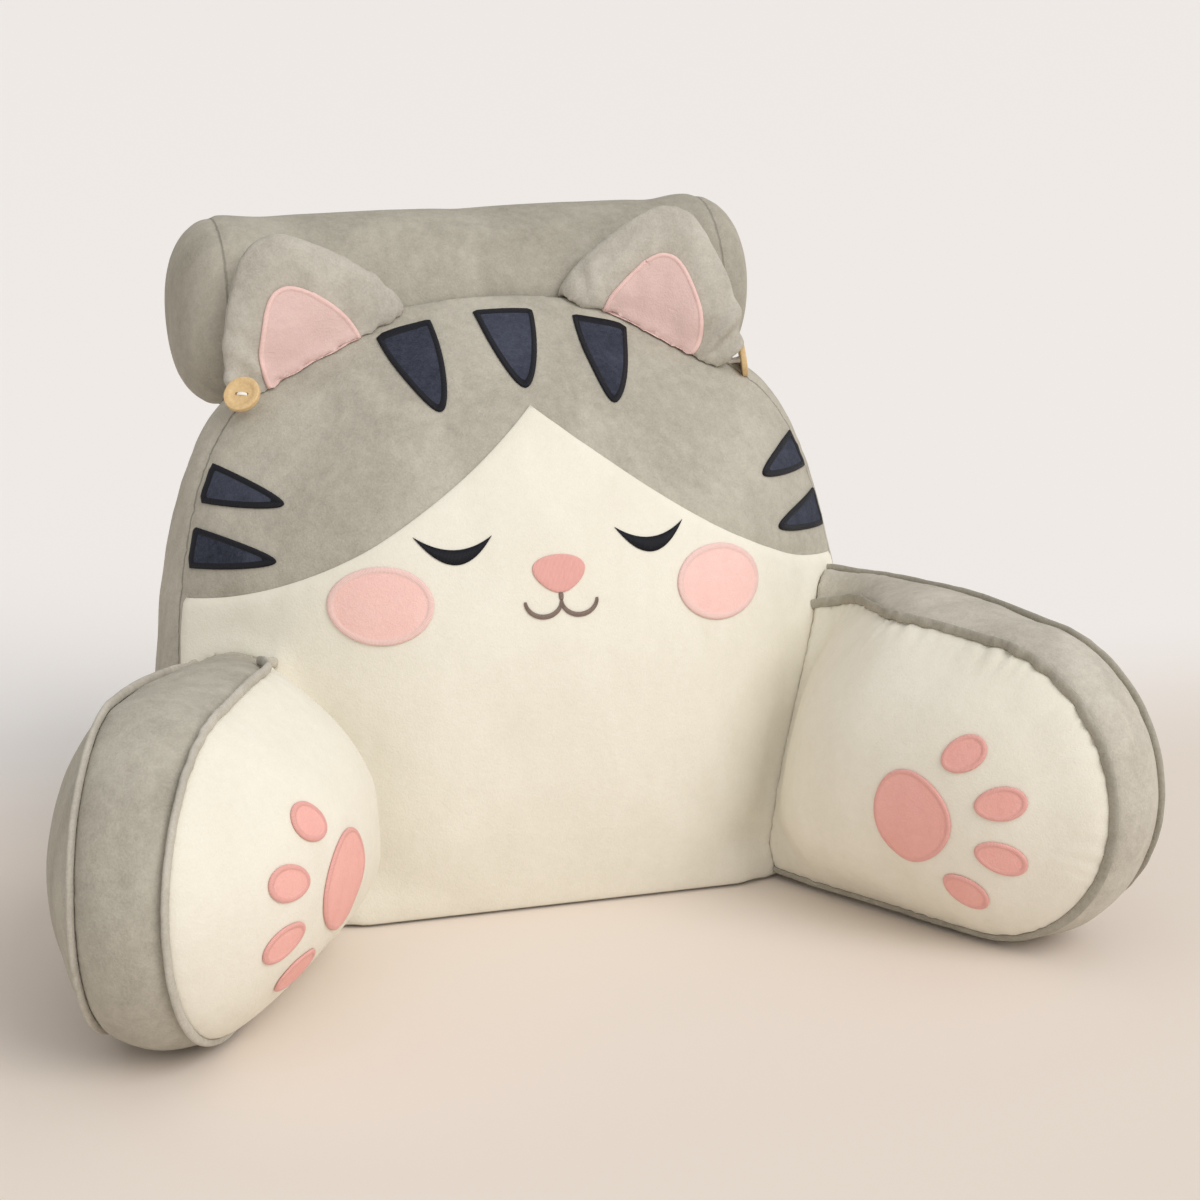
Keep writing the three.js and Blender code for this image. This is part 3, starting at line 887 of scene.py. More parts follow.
# Painted shade: the right arm's welts in a darker copy of the grey, their lit side turned away
SHADED_WELT_PLUSH = PlushFinish("painted_shade_welt_pile", linear(143, 138, 126), linear(186, 181, 168))
CREAM_PLUSH = PlushFinish(
    "cream_pile", linear(229, 224, 209), linear(240, 236, 224), bump=0.35, sheen=0.06
)
PINK_PLUSH = PlushFinish("pink_pile", linear(218, 186, 181), linear(234, 206, 201), fibre=760.0)
BLUSH_PLUSH = PlushFinish("blush_pile", linear(242, 194, 187), linear(250, 212, 205), fibre=760.0)
ROSE_PLUSH = PlushFinish("rose_pile", linear(233, 169, 160), linear(245, 190, 181), fibre=760.0)
NAVY_PLUSH = PlushFinish("navy_pile", linear(26, 30, 40), linear(78, 82, 98), fibre=760.0, sheen=0.04)
NAVY_THREAD = SatinFinish("navy_thread", linear(8, 9, 14), linear(26, 28, 38))
PALE_PINK_THREAD = SatinFinish("pale_pink_thread", linear(238, 192, 185), linear(250, 220, 214))
ROSE_THREAD = SatinFinish("rose_thread", linear(226, 158, 150), linear(242, 186, 178))
TAUPE_THREAD = SatinFinish("taupe_thread", linear(112, 96, 90), linear(150, 132, 122))
WHITE_THREAD = SatinFinish("white_thread", linear(225, 222, 214), linear(250, 248, 242))
OILED_WOOD = WoodFinish("oiled_wood", linear(226, 196, 146), linear(196, 156, 102))
PALE_FLOOR = FloorFinish("pale_ground", linear(235, 224, 214), linear(251, 247, 245))


CLOTH = {
    "quality": 4,
    "mass": 0.25,
    "tension_stiffness": 18.0,
    "compression_stiffness": 18.0,
    "shear_stiffness": 6.0,
    "bending_stiffness": 0.6,
    "use_pressure": True,
}


@dataclass
class Cushion:
    """A stuffed piece that is shaped from its sewn form and then filled."""

    name: str = "cushion"
    nodes: tuple[str, ...] = ()
    slot: str = "grey_plush"
    finish: Finish = GREY_PLUSH
    fill: float = 0.75
    rings: tuple[float, ...] = ()
    strip_rows: int = 13
    voxel: float = 5.5
    pressure: float = 4.0
    growth: float = 0.02
    frames: int = 16
    cap: float = 7.0
    evening: int = 8
    evening_share: float = 0.6
    slack: float = 4.0
    slack_reach: float = 45.0
    pin_width: float = 3.6
    gap: float = 0.7
    floor_gap: float = 0.2
    floor_hold: float = 2.0
    floor_free: float = 22.0
    contact: float = 6.0
    contact_free: float = 28.0
    swells: Table = ()
    swell_seed: int = 0
    stretch: Triple = (1.0, 1.0, 1.0)
    pucker: Triple = (0.3, 12.0, 20.0)
    pucker_seed: int = 0
    groove: Pair = (1.3, 4.5)
    form: Piece = field(init=False)
    piece: Piece = field(init=False)
    seams: list[SeamLine] = field(init=False)

    def surface(self) -> Form:
        """The sewn form's points and faces."""
        raise NotImplementedError

    def seam_lines(self) -> list[SeamLine]:
        """The lines along which the cover is sewn."""
        raise NotImplementedError

    def relief(self, points: Array, seams: Sequence[SeamReading]) -> Array:
        """Height of the soft dents, and of the puckers and grooves along the seams.

        Args:
            points: Points of the cover.
            seams: The same points measured against each seam.

        Returns:
            Heights.
        """
        height = np.zeros(len(points))
        for number, (swell, wave) in enumerate(self.swells):
            height += swell * dents(points * self.stretch, wave, self.swell_seed + number)
        for number, seam in enumerate(seams):
            height += seam.relief(self.pucker, self.groove, self.pucker_seed + number)
        return height

    def between(self, points: Array, seams: Sequence[SeamReading]) -> list[Array]:
        """For each seam, which points lie on the side of the strip that it bounds."""
        raise NotImplementedError

    def laid(self, places: Array) -> Array:
        """Points of the sewn form under places of the plane that sheets are drawn in."""
        raise NotImplementedError

    def shape(self) -> None:
        """Makes the sewn form."""
        self.form = mesh_object(self.name + "_form", *self.surface())
        self.seams = self.seam_lines()

    def seam_distance(self, points: Array) -> Array:
        """Distance of points from the nearest seam."""
        return np.min([seam.nearest(points).distance for seam in self.seams], axis=0)

    def stuff(self, cut_by: Sequence["Cushion"], beside: Sequence["Cushion"]) -> None:
        """Fills the sewn form and settles the finished piece.

        Args:
            cut_by: Pieces that this one gives way to.
            beside: Other pieces that lean on this one.
        """
        self.piece = link_object(self.name, self.form.data.copy())
        cut_clear(self.piece, [other.form for other in cut_by], self.gap)
        voxels = self.piece.modifiers.new("voxels", "REMESH")
        voxels.mode = "VOXEL"
        voxels.voxel_size = self.voxel * MM
        apply_modifier(self.piece, voxels)
        trees = [tree_of(other.form) for other in (*cut_by, *beside)]
        self.inflate(trees)
        rounding = self.piece.modifiers.new("rounding", "SUBSURF")
        rounding.levels = 1
        rounding.render_levels = 1
        apply_modifier(self.piece, rounding)
        points = coordinates(self.piece)
        seams = [seam.nearest(points) for seam in self.seams]
        self.mark_seams(points, seams)
        height = self.relief(points, seams) * self.freedom(points, trees)
        points = points + corner_normals(self.piece) * height[:, None]
        points[:, 2] = np.maximum(points[:, 2], self.floor_gap)
        set_coordinates(self.piece, points)
        dress(self.piece, self.finish)
        settle(self.piece, self.slot, self.nodes)

    def mark_seams(self, points: Array, seams: Sequence[SeamReading]) -> None:
        """Keeps each point's distance from its nearest seam, below zero outside the strips; the plush shaders
        paint crease shade along the seams from it.

        Args:
            points: Points of the cover.
            seams: The same points measured against each seam.
        """
        distance = np.array([seam.distance for seam in seams])
        signs = np.where(np.array(self.between(points, seams)), 1.0, -1.0)
        nearest = np.argmin(distance, axis=0)
        picked = np.arange(len(points))
        offset = self.piece.data.attributes.new(SEAM_OFFSET, "FLOAT", "POINT")
        values = distance[nearest, picked] * signs[nearest, picked] * MM
        offset.data.foreach_set("value", values.astype(np.float32))

    def freedom(self, points: Array, trees: Trees) -> Array:
        """How freely the cover moves, from 0 where it touches something to 1.

        Args:
            points: Points of the cover.
            trees: Search trees of the pieces that it touches.

        Returns:
            A share for each point.
        """
        free = smoothstep(points[:, 2], 0.5 * self.floor_hold, self.floor_free)
        for tree in trees:
            gap = distance_to(tree, points, self.contact_free)
            free = free * smoothstep(gap, 0.5 * self.contact, self.contact_free)
        return free

    def inflate(self, trees: Trees) -> None:
        """Fills the cover, which is held along its seams and where it touches something.

        Args:
            trees: Search trees of the pieces that it touches.
        """
        rest = coordinates(self.piece)
        seam = self.seam_distance(rest)
        held = (seam < self.pin_width) | (rest[:, 2] < self.floor_hold)
        for tree in trees:
            held |= distance_to(tree, rest, 2.0 * self.contact) < self.contact
        inset = self.slack * smoothstep(seam, 0.0, self.slack_reach) * ~held
        set_coordinates(self.piece, rest - corner_normals(self.piece) * inset[:, None])
        self.blow_up(held)
        moved = coordinates(self.piece) - rest
        length = np.linalg.norm(moved, axis=1)
        LOG.info("%s: cover moved %.1f mm at most", self.name, length.max())
        moved *= np.minimum(1.0, self.cap / np.maximum(length, 1e-6))[:, None]
        set_coordinates(self.piece, rest + self.evened(moved, held))

    def blow_up(self, held: Array) -> None:
        """Runs the cover as cloth under pressure and keeps the result.

        Args:
            held: Corners that stay where they are.
        """
        pins = self.piece.vertex_groups.new(name="pins")
        pins.add(np.flatnonzero(held).tolist(), 1.0, "REPLACE")
        cloth = self.piece.modifiers.new("stuffing", "CLOTH")
        own = {"uniform_pressure_force": self.pressure, "shrink_min": -self.growth}
        for label, value in {**CLOTH, **own, "vertex_group_mass": pins.name}.items():
            setattr(cloth.settings, label, value)
        cloth.settings.effector_weights.gravity = 0.0
        cloth.collision_settings.use_collision = False
        cloth.point_cache.frame_end = self.frames
        for step in range(1, self.frames + 1):
            bpy.context.scene.frame_set(step)
        apply_modifier(self.piece, cloth)
        bpy.context.scene.frame_set(1)
        self.piece.vertex_groups.clear()

    def evened(self, moved: Array, held: Array) -> Array:
        """Evens out how the cover has moved, so that the filling lies without lumps.

        Args:
            moved: Each corner's move.
            held: Corners that stay where they are.

        Returns:
            The evened moves.
        """
        pairs = np.array([edge.vertices[:] for edge in self.piece.data.edges])
        ends = np.concatenate([pairs, pairs[:, ::-1]])
        count = np.bincount(ends[:, 0], minlength=len(moved))[:, None]
        for _ in range(self.evening):
            columns = [np.bincount(ends[:, 0], moved[ends[:, 1], k], len(moved)) for k in range(3)]
            beside = np.stack(columns, axis=1) / count
            evened = (1.0 - self.evening_share) * moved + self.evening_share * beside
            moved = np.where(held[:, None], moved, evened)
        return moved


@dataclass
class BackCushion(Cushion):
    """The dome-topped back that stands on its base."""

    name: str = "back_cushion_cover"
    nodes: tuple[str, ...] = ("back_cushion",)
    rings: tuple[float, ...] = (0.12, 0.24, 0.36, 0.48, 0.58, 0.67, 0.75, 0.82, 0.88, 0.93, 0.97)
    voxel: float = 6.4
    swells: Table = ((0.7, 150.0), (0.15, 48.0))
    swell_seed: int = 3
    pucker: Triple = (0.4, 14.0, 20.0)
    pucker_seed: int = 20
    rows: Table = (
        (0, 246), (14, 262), (45, 269), (120, 270), (205, 265), (276, 253), (326, 237), (360, 216),
        (379, 193), (397, 160), (415, 119), (430, 72), (436, 0),
    )
    arch_steps: int = 240
    foot_steps: int = 60
    middle_height: float = 140.0
    front: float = -113.0
    seam_foot: float = -49.0
    seam_lean: float = 0.24
    seam_top: float = 414.0
    base_bulge: float = 47.0
    bulge_from: float = 150.0
    bulge_to: float = 268.0
    bulge_height: float = 140.0
    rear_foot: float = 97.0
    rear_lean: float = -0.05
    rear_crown: float = 25.0
    crown_power: float = 2.6
    gusset_bulge: float = 8.0
    gusset_rise: float = 60.0
    seam_steps: int = 700
    blaze_apex: float = 369.0
    blaze_ends: float = 236.0
    blaze_half: float = 256.0
    blaze_power: float = 1.55
    blaze_steps: int = 400
    blaze_pucker: Triple = (0.25, 14.0, 30.0)
    blaze_groove: Pair = (1.9, 4.5)
    blaze_seed: int = 31
    edge: Outline = field(init=False)

    def __post_init__(self) -> None:
        """Draws the outline."""
        line = closed_outline(self.rows, self.arch_steps, self.foot_steps)
        self.edge = Outline(line, np.array([0.0, self.middle_height]))

    def front_seam(self, places: Array) -> Array:
        """Depth of the front seam, which bulges forwards along the base.

        Args:
            places: Points of the outline (across, height).

        Returns:
            A depth for each point.
        """
        across = 1.0 - smoothstep(np.abs(places[:, 0]), self.bulge_from, self.bulge_to)
        forward = across * (1.0 - smoothstep(places[:, 1], 0.0, self.bulge_height))
        return self.seam_foot + self.seam_lean * places[:, 1] - self.base_bulge * forward

    def rear_seam(self, places: Array) -> Array:
        """Depth of the rear seam's plane."""
        return self.rear_foot + self.rear_lean * places[:, 1]

    def laid(self, places: Array) -> Array:
        """Lays places onto the front face.

        Args:
            places: Points (across, height).

        Returns:
            Points of the front face.
        """
        share, edge = self.edge.reach(places)
        depth = self.front + (self.front_seam(edge) - self.front) * np.clip(share, 0, 1) ** self.crown_power
        return upright(places, depth)

    def rear_face(self, places: Array) -> Array:
        """Points of the rear face behind places (across, height)."""
        share = np.clip(self.edge.reach(places)[0], 0.0, 1.0)
        return upright(places, self.rear_seam(places) + self.rear_crown * (1.0 - share**self.crown_power))

    def surface(self) -> Form:
        """The sewn form: front face, gusset and rear face.

        Returns:
            The form's points and faces.
        """
        outline = self.edge.points
        rays = unit(outline - self.edge.middle)
        rise = smoothstep(outline[:, 1], 0.0, self.gusset_rise)
        gusset = []
        for share in np.linspace(0.0, 1.0, self.strip_rows):
            out = self.gusset_bulge * math.sin(math.pi * share) * rise
            depth = (1.0 - share) * self.front_seam(outline) + share * self.rear_seam(outline)
            gusset.append(upright(outline + rays * out[:, None], depth))
        front = [self.laid(self.edge.scaled(share)) for share in self.rings]
        rear = [self.rear_face(self.edge.scaled(share)) for share in self.rings[::-1]]
        pole = self.edge.middle[None]
        return loft([*front, *gusset, *rear], self.laid(pole)[0], self.rear_face(pole)[0])

    def seam_lines(self) -> list[SeamLine]:
        """The front seam, which is turned under along the top, and the rear seam.

        Returns:
            The two seams.
        """
        flat = resample(closed(self.edge.points), self.seam_steps)
        rear = SeamLine(upright(flat, self.rear_seam(flat)))
        top = int(np.argmax(flat[:, 1]))
        flat = np.vstack([flat[top:], flat[1:top]])
        flat = flat[flat[:, 1] < self.seam_top]
        return [SeamLine(upright(flat, self.front_seam(flat))), rear]

    def blaze_line(self, count: int) -> Array:
        """The seam between the cap and the face panel, from right to left.

        Args:
            count: Number of steps.

        Returns:
            Points (across, height) of the front's plane.
        """
        share = np.linspace(1.0, -1.0, count + 1)
        rise = (self.blaze_apex - self.blaze_ends) * (1.0 - np.abs(share)) ** self.blaze_power
        return np.column_stack([share * self.blaze_half, self.blaze_ends + rise])

    def relief(self, points: Array, seams: Sequence[SeamReading]) -> Array:
        """Adds the groove under the face panel's edge to what every cover has.

        Args:
            points: Points of the cover.
            seams: The same points measured against each seam.

        Returns:
            Heights.
        """
        line = resample(self.blaze_line(self.blaze_steps), self.blaze_steps)
        blaze = SeamLine(self.laid(line)).nearest(points)
        sunk = blaze.relief(self.blaze_pucker, self.blaze_groove, self.blaze_seed)
        return super().relief(points, seams) + sunk

    def between(self, points: Array, seams: Sequence[SeamReading]) -> list[Array]:
        """Which points lie on the gusset's side of the front and of the rear seam."""
        return [points[:, 1] > seams[0].point[:, 1], points[:, 1] < seams[1].point[:, 1]]


@dataclass
class ArmCushion(Cushion):
    """A D-shaped arm with a boxing strip round it, splayed away from the seat."""

    side: Side = Side.RIGHT
    crease_x: float = 185.0
    crease_y: float = -104.0
    splay: float = 29.5
    seam_lift: float = 9.0
    height: float = 224.0
    nose_reach: float = 283.0
    root_reach: float = -95.0
    middle_along: float = 115.0
    boxing_at_crease: float = 98.0
    boxing_at_nose: float = 61.0
    inner_crown: float = 63.0
    outer_crown: float = 46.0
    crown_power: float = 2.6
    fade_from: float = -40.0
    fade_to: float = 50.0
    root_shift_most: float = 72.0
    shift_from: float = -20.0
    shift_to: float = 110.0
    shift_height: float = 204.0
    gather: float = 1.7
    # The right arm's plush is a lighter copy of the grey and its welts a darker one: painted light and shade
    finish: Finish = LIT_GREY_PLUSH
    welt_finish: Finish = SHADED_WELT_PLUSH
    growth: float = 0.025
    rings: tuple[float, ...] = (0.1, 0.22, 0.34, 0.46, 0.57, 0.67, 0.76, 0.84, 0.9, 0.95, 0.98)
    swells: Table = ((0.5, 130.0), (0.12, 45.0))
    groove: Pair = (1.5, 5.0)
    root_power: float = 1.6
    root_steps: int = 30
    seam_steps: int = 420
    gather_reach: float = 18.0
    gather_vary: float = 11.0
    gather_least: float = 7.0
    gather_wave: float = 14.0
    gather_low: float = 90.0
    gather_high: float = 190.0
    gather_drift: float = 50.0
    gather_base: float = 0.35
    panel_dent: float = 0.12
    panel_dent_wave: float = 60.0
    tops: tuple[Triple, ...] = (
        (-95, 186, 220), (-30, 203, 227), (20, 217, 231), (70, 225, 232), (120, 228, 230)
    )
    edge: Outline = field(init=False)

    @classmethod
    def pair(cls) -> list["ArmCushion"]:
        """The two arms, stuffed and sewn a little unlike, and given painted light and shade: the right arm's
        plush is a lighter copy of the grey and its welts a darker one, and the left arm's welts are a lighter
        one.

        Returns:
            The left and the right arm.
        """
        tops = ((-95, 184, 184), (-30, 196, 192), (20, 211, 200), (70, 223, 209), (120, 228, 217))
        left = cls(
            side=Side.LEFT,
            nose_reach=294.0,
            inner_crown=72.0,
            outer_crown=50.0,
            root_shift_most=42.0,
            gather=0.5,
            # The left arm keeps the plain grey plush, with welts in a lighter copy: painted light on them
            finish=GREY_PLUSH,
            welt_finish=LIT_WELT_PLUSH,
            tops=tops,
        )
        return [left, cls(side=Side.RIGHT)]

    def __post_init__(self) -> None:
        """Names the arm and draws its outline."""
        self.name = f"arm_{self.side.word}_cover"
        self.nodes = (f"arm_{self.side.word}",)
        self.swell_seed = 50 + 10 * self.side.value
        self.pucker_seed = self.swell_seed + 4
        turn = math.radians(self.splay)
        self.along_way = np.array([math.sin(turn), -math.cos(turn)])
        self.out_way = np.array([math.cos(turn), math.sin(turn)])
        self.radius = (self.height - self.seam_lift) / 2.0
        middle = np.array([self.middle_along, self.seam_lift + self.radius])
        self.edge = Outline(self.outline(ArmSeam.INNER), middle)

    def seam_path(self, seam: ArmSeam, straight: int = 60, nose: int = 90) -> Array:
        """A seam from the root along the bottom, round the nose and back along the top.

        Args:
            seam: Which of the two seams.
            straight: Steps along the bottom, and along the top.
            nose: Steps round the nose.

        Returns:
            Points (along, height).
        """
        nose_middle = self.nose_reach - self.radius
        bottom = np.linspace(self.root_reach, nose_middle, straight, endpoint=False)
        turn = np.linspace(-math.pi / 2.0, math.pi / 2.0, nose, endpoint=False)
        middle = self.seam_lift + self.radius
        bow = np.column_stack([nose_middle + self.radius * np.cos(turn), middle + self.radius * np.sin(turn)])
        column = 1 if seam is ArmSeam.INNER else 2
        knots = [(row[0], row[column]) for row in self.tops]
        top = catmull_line(np.array([*knots, (nose_middle, self.height)], float), straight)
        return np.vstack([np.column_stack([bottom, np.full(straight, self.seam_lift)]), bow, top[::-1]])

    def outline(self, seam: ArmSeam) -> Array:
        """A seam closed across the root."""
        return close_straight(self.seam_path(seam), self.root_steps)

    def place(self, flat: Array, outward: Array) -> Array:
        """Sets points of the arm's own plane in their place.

        Args:
            flat: Points (along, height).
            outward: Distance of each outwards from the inner seam's plane.

        Returns:
            The points in the cushion's frame.
        """
        x = self.crease_x + flat[:, 0] * self.along_way[0] + outward * self.out_way[0]
        y = self.crease_y + flat[:, 0] * self.along_way[1] + outward * self.out_way[1]
        return np.column_stack([self.side.value * x, y, flat[:, 1]])

    def root_shift(self, flat: Array) -> Array:
        """How far the inner side turns outwards near the top of the root."""
        rise = np.clip(flat[:, 1] / self.shift_height, 0.0, 1.0) ** self.root_power
        return self.root_shift_most * rise * (1.0 - smoothstep(flat[:, 0], self.shift_from, self.shift_to))

    def boxing_width(self, flat: Array) -> Array:
        """Width of the boxing strip."""
        share = flat[:, 0] / self.nose_reach
        return self.boxing_at_crease + (self.boxing_at_nose - self.boxing_at_crease) * share

    def boxing_place(self, flat: Array, share: float) -> Array:
        """Distance outwards of the boxing strip, a share of the way from its inner seam to its outer one."""
        return (1.0 - share) * self.root_shift(flat) + share * self.boxing_width(flat)

    def crown(self, flat: Array) -> Array:
        """How full a face is, from 0 at its seam to 1."""
        share = np.clip(self.edge.reach(flat)[0], 0.0, 1.0)
        return smoothstep(flat[:, 0], self.fade_from, self.fade_to) * (1.0 - share**self.crown_power)

    def laid(self, places: Array) -> Array:
        """Points of the inner face under places (along, height)."""
        return self.place(places, self.root_shift(places) - self.inner_crown * self.crown(places))

    def outer_face(self, places: Array) -> Array:
        """Points of the outer face under places (along, height)."""
        return self.place(places, self.boxing_width(places) + self.outer_crown * self.crown(places))

    def surface(self) -> Form:
        """The sewn form: inner face, boxing and outer face.

        Returns:
            The form's points and faces.
        """
        inner_line, outer_line = (self.outline(seam) for seam in ArmSeam)
        away = sideways(np.roll(inner_line, -1, axis=0) - np.roll(inner_line, 1, axis=0))
        bulge = self.seam_lift / math.sin(math.pi / 3.0)
        boxing = []
        for share in np.linspace(0.0, 1.0, self.strip_rows):
            out = away * bulge * math.sin(math.pi * share)
            flat = inner_line + (outer_line - inner_line) * share + out
            flat[:, 1] = np.maximum(flat[:, 1], 0.0)
            boxing.append(self.place(flat, self.boxing_place(inner_line, share)))
        middle = self.edge.middle
        inner = [self.laid(self.edge.scaled(share)) for share in self.rings]
        outer = [self.outer_face(middle + (outer_line - middle) * share) for share in self.rings[::-1]]
        pole = middle[None]
        return loft([*inner, *boxing, *outer], self.laid(pole)[0], self.outer_face(pole)[0])

    def seam_lines(self) -> list[SeamLine]:
        """The inner and outer seams.

        Returns:
            The two seams.
        """
        lines = []
        for seam, share in zip(ArmSeam, (0.0, 1.0)):
            flat = resample(self.seam_path(seam), self.seam_steps)
            lines.append(SeamLine(self.place(flat, self.boxing_place(flat, share))))
        return lines

    def outward(self, points: Array) -> Array:
        """Distance outwards of points from the inner seam's plane."""
        across = self.side.value * points[:, 0] - self.crease_x
        return across * self.out_way[0] + (points[:, 1] - self.crease_y) * self.out_way[1]

    def between(self, points: Array, seams: Sequence[SeamReading]) -> list[Array]:
        """Which points lie on the boxing's side of the inner and of the outer seam."""
        own, inner, outer = (self.outward(p) for p in (points, seams[0].point, seams[1].point))
        return [own > inner, own < outer]

    def gathers(self, points: Array) -> Array:
        """Gathers that run from the inner seam into the cloth of the inner face.

        Args:
            points: Points of the inner face.

        Returns:
            Heights.
        """
        seam = self.seams[0].nearest(points)
        seed = self.swell_seed + 20
        reach = self.gather_reach + self.gather_vary * ripple(seam.along, self.gather_drift, seed)
        rise = smoothstep(points[:, 2], self.gather_low, self.gather_high)
        gathered = self.gather_base + (1.0 - self.gather_base) * rise
        deep = self.gather * gathered * seam.near(np.maximum(reach, self.gather_least))
        dented = self.panel_dent * dents(points, self.panel_dent_wave, seed + 2)
        return deep * ripple(seam.along, self.gather_wave, seed + 1) + dented


@dataclass
class NeckRoll(Cushion):
    """The bolster behind the top edge of the back."""

    name: str = "neck_roll_cover"
    nodes: tuple[str, ...] = ("neck_roll",)
    radius: float = 75.0
    half: float = 237.0
    end_depth: float = 50.0
    x: float = -6.0
    y: float = 149.0
    z: float = 431.0
    # Its plush is darker by painted shade
    finish: Finish = SHADED_ROLL_PLUSH
    tilt: float = 1.0
    seam_turn: float = 0.28
    growth: float = 0.01
    swells: Table = ((0.4, 90.0),)
    swell_seed: int = 71
    stretch: Triple = (0.45, 1.0, 1.0)
    pucker: Triple = (0.3, 13.0, 17.0)
    pucker_seed: int = 75
    groove: Pair = (1.1, 4.0)
    seam_steps: int = 240
    seam_behind: float = 0.94
    seam_below: float = 0.34
    end_ease: float = 30.0
    end_round: float = 0.55
    end_swell: float = 1.1
    end_turn: float = 1.5
    end_rings: int = 16
    tube_rings: int = 40

    def profile(self, turn: Array) -> tuple[Array, Array]:
        """Radius and place along the axis of a domed end."""
        radius = self.radius * np.cos(turn) ** self.end_round
        return radius, self.half - self.end_depth * (1.0 - np.sin(turn) ** self.end_swell)

    def ring(self, radius: float, x: float, count: int = 120) -> Array:
        """A ring about the roll's axis.

        Args:
            radius: Radius of the ring.
            x: Its place along the axis, from the middle.
            count: Number of points.

        Returns:
            The ring's points.
        """
        turn = np.linspace(0.0, 2.0 * math.pi, count, endpoint=False)
        across, up = radius * np.cos(turn), radius * np.sin(turn)
        return np.column_stack([np.full(count, self.x + x), self.y + across, self.axis_height(x) + up])

    def axis_height(self, x: Array | float) -> Array | float:
        """Height of the axis, which droops a little to the left, at a distance from the middle."""
        return self.z + math.tan(math.radians(self.tilt)) * x

    def surface(self) -> Form:
        """The lathed form with its domed ends.

        Returns:
            The form's points and faces.
        """
        radius, reach = self.profile(np.linspace(0.0, self.end_turn, self.end_rings))
        ends = [self.ring(r, x) for r, x in zip(radius, reach)]
        stops = np.linspace(-reach[0], reach[0], self.tube_rings)[1:-1]
        tube = [self.ring(self.radius, x) for x in stops]
        other = [self.ring(r, -x) for r, x in zip(radius[::-1], reach[::-1])]
        poles = [np.array([self.x + x, self.y, self.axis_height(x)]) for x in (-self.half, self.half)]
        return loft([*other, *tube, *ends], *poles)

    def seam_lines(self) -> list[SeamLine]:
        """The seams of the end discs and the long seam behind.

        Returns:
            The three seams.
        """
        radius, reach = (float(v) for v in self.profile(np.array(self.seam_turn)))
        rings = [self.ring(radius, x, self.seam_steps) for x in (-reach, reach)]
        run = np.linspace(-reach, reach, self.seam_steps)
        behind = np.full(self.seam_steps, self.y + self.seam_behind * self.radius)
        below = self.axis_height(run) - self.seam_below * self.radius
        long_seam = np.column_stack([self.x + run, behind, below])
        return [SeamLine(line) for line in (*map(closed, rings), long_seam)]

    def between(self, points: Array, seams: Sequence[SeamReading]) -> list[Array]:
        """Which points lie on the tube's side of the end seams; the long seam has the tube on both sides."""
        inner = [np.abs(points[:, 0] - self.x) < np.abs(seam.point[:, 0] - self.x) for seam in seams[:2]]
        return [*inner, np.ones(len(points), bool)]

    def press(self, points: Array, room: Array) -> Array:
        """How far points have to move forwards to keep some room in front of the roll.

        Args:
            points: Points in millimetres.
            room: Distance that each point keeps from the roll's surface.

        Returns:
            Distances, eased in.
        """
        reach = self.radius + room
        up = np.clip(np.abs(points[:, 2] - self.axis_height(points[:, 0] - self.x)), 0.0, reach)
        front = self.y - np.sqrt(reach**2 - up**2)
        ends = 1.0 - smoothstep(np.abs(points[:, 0] - self.x), self.half - self.end_ease, self.half)
        return np.maximum(points[:, 1] - front, 0.0) * ends * (up < reach)


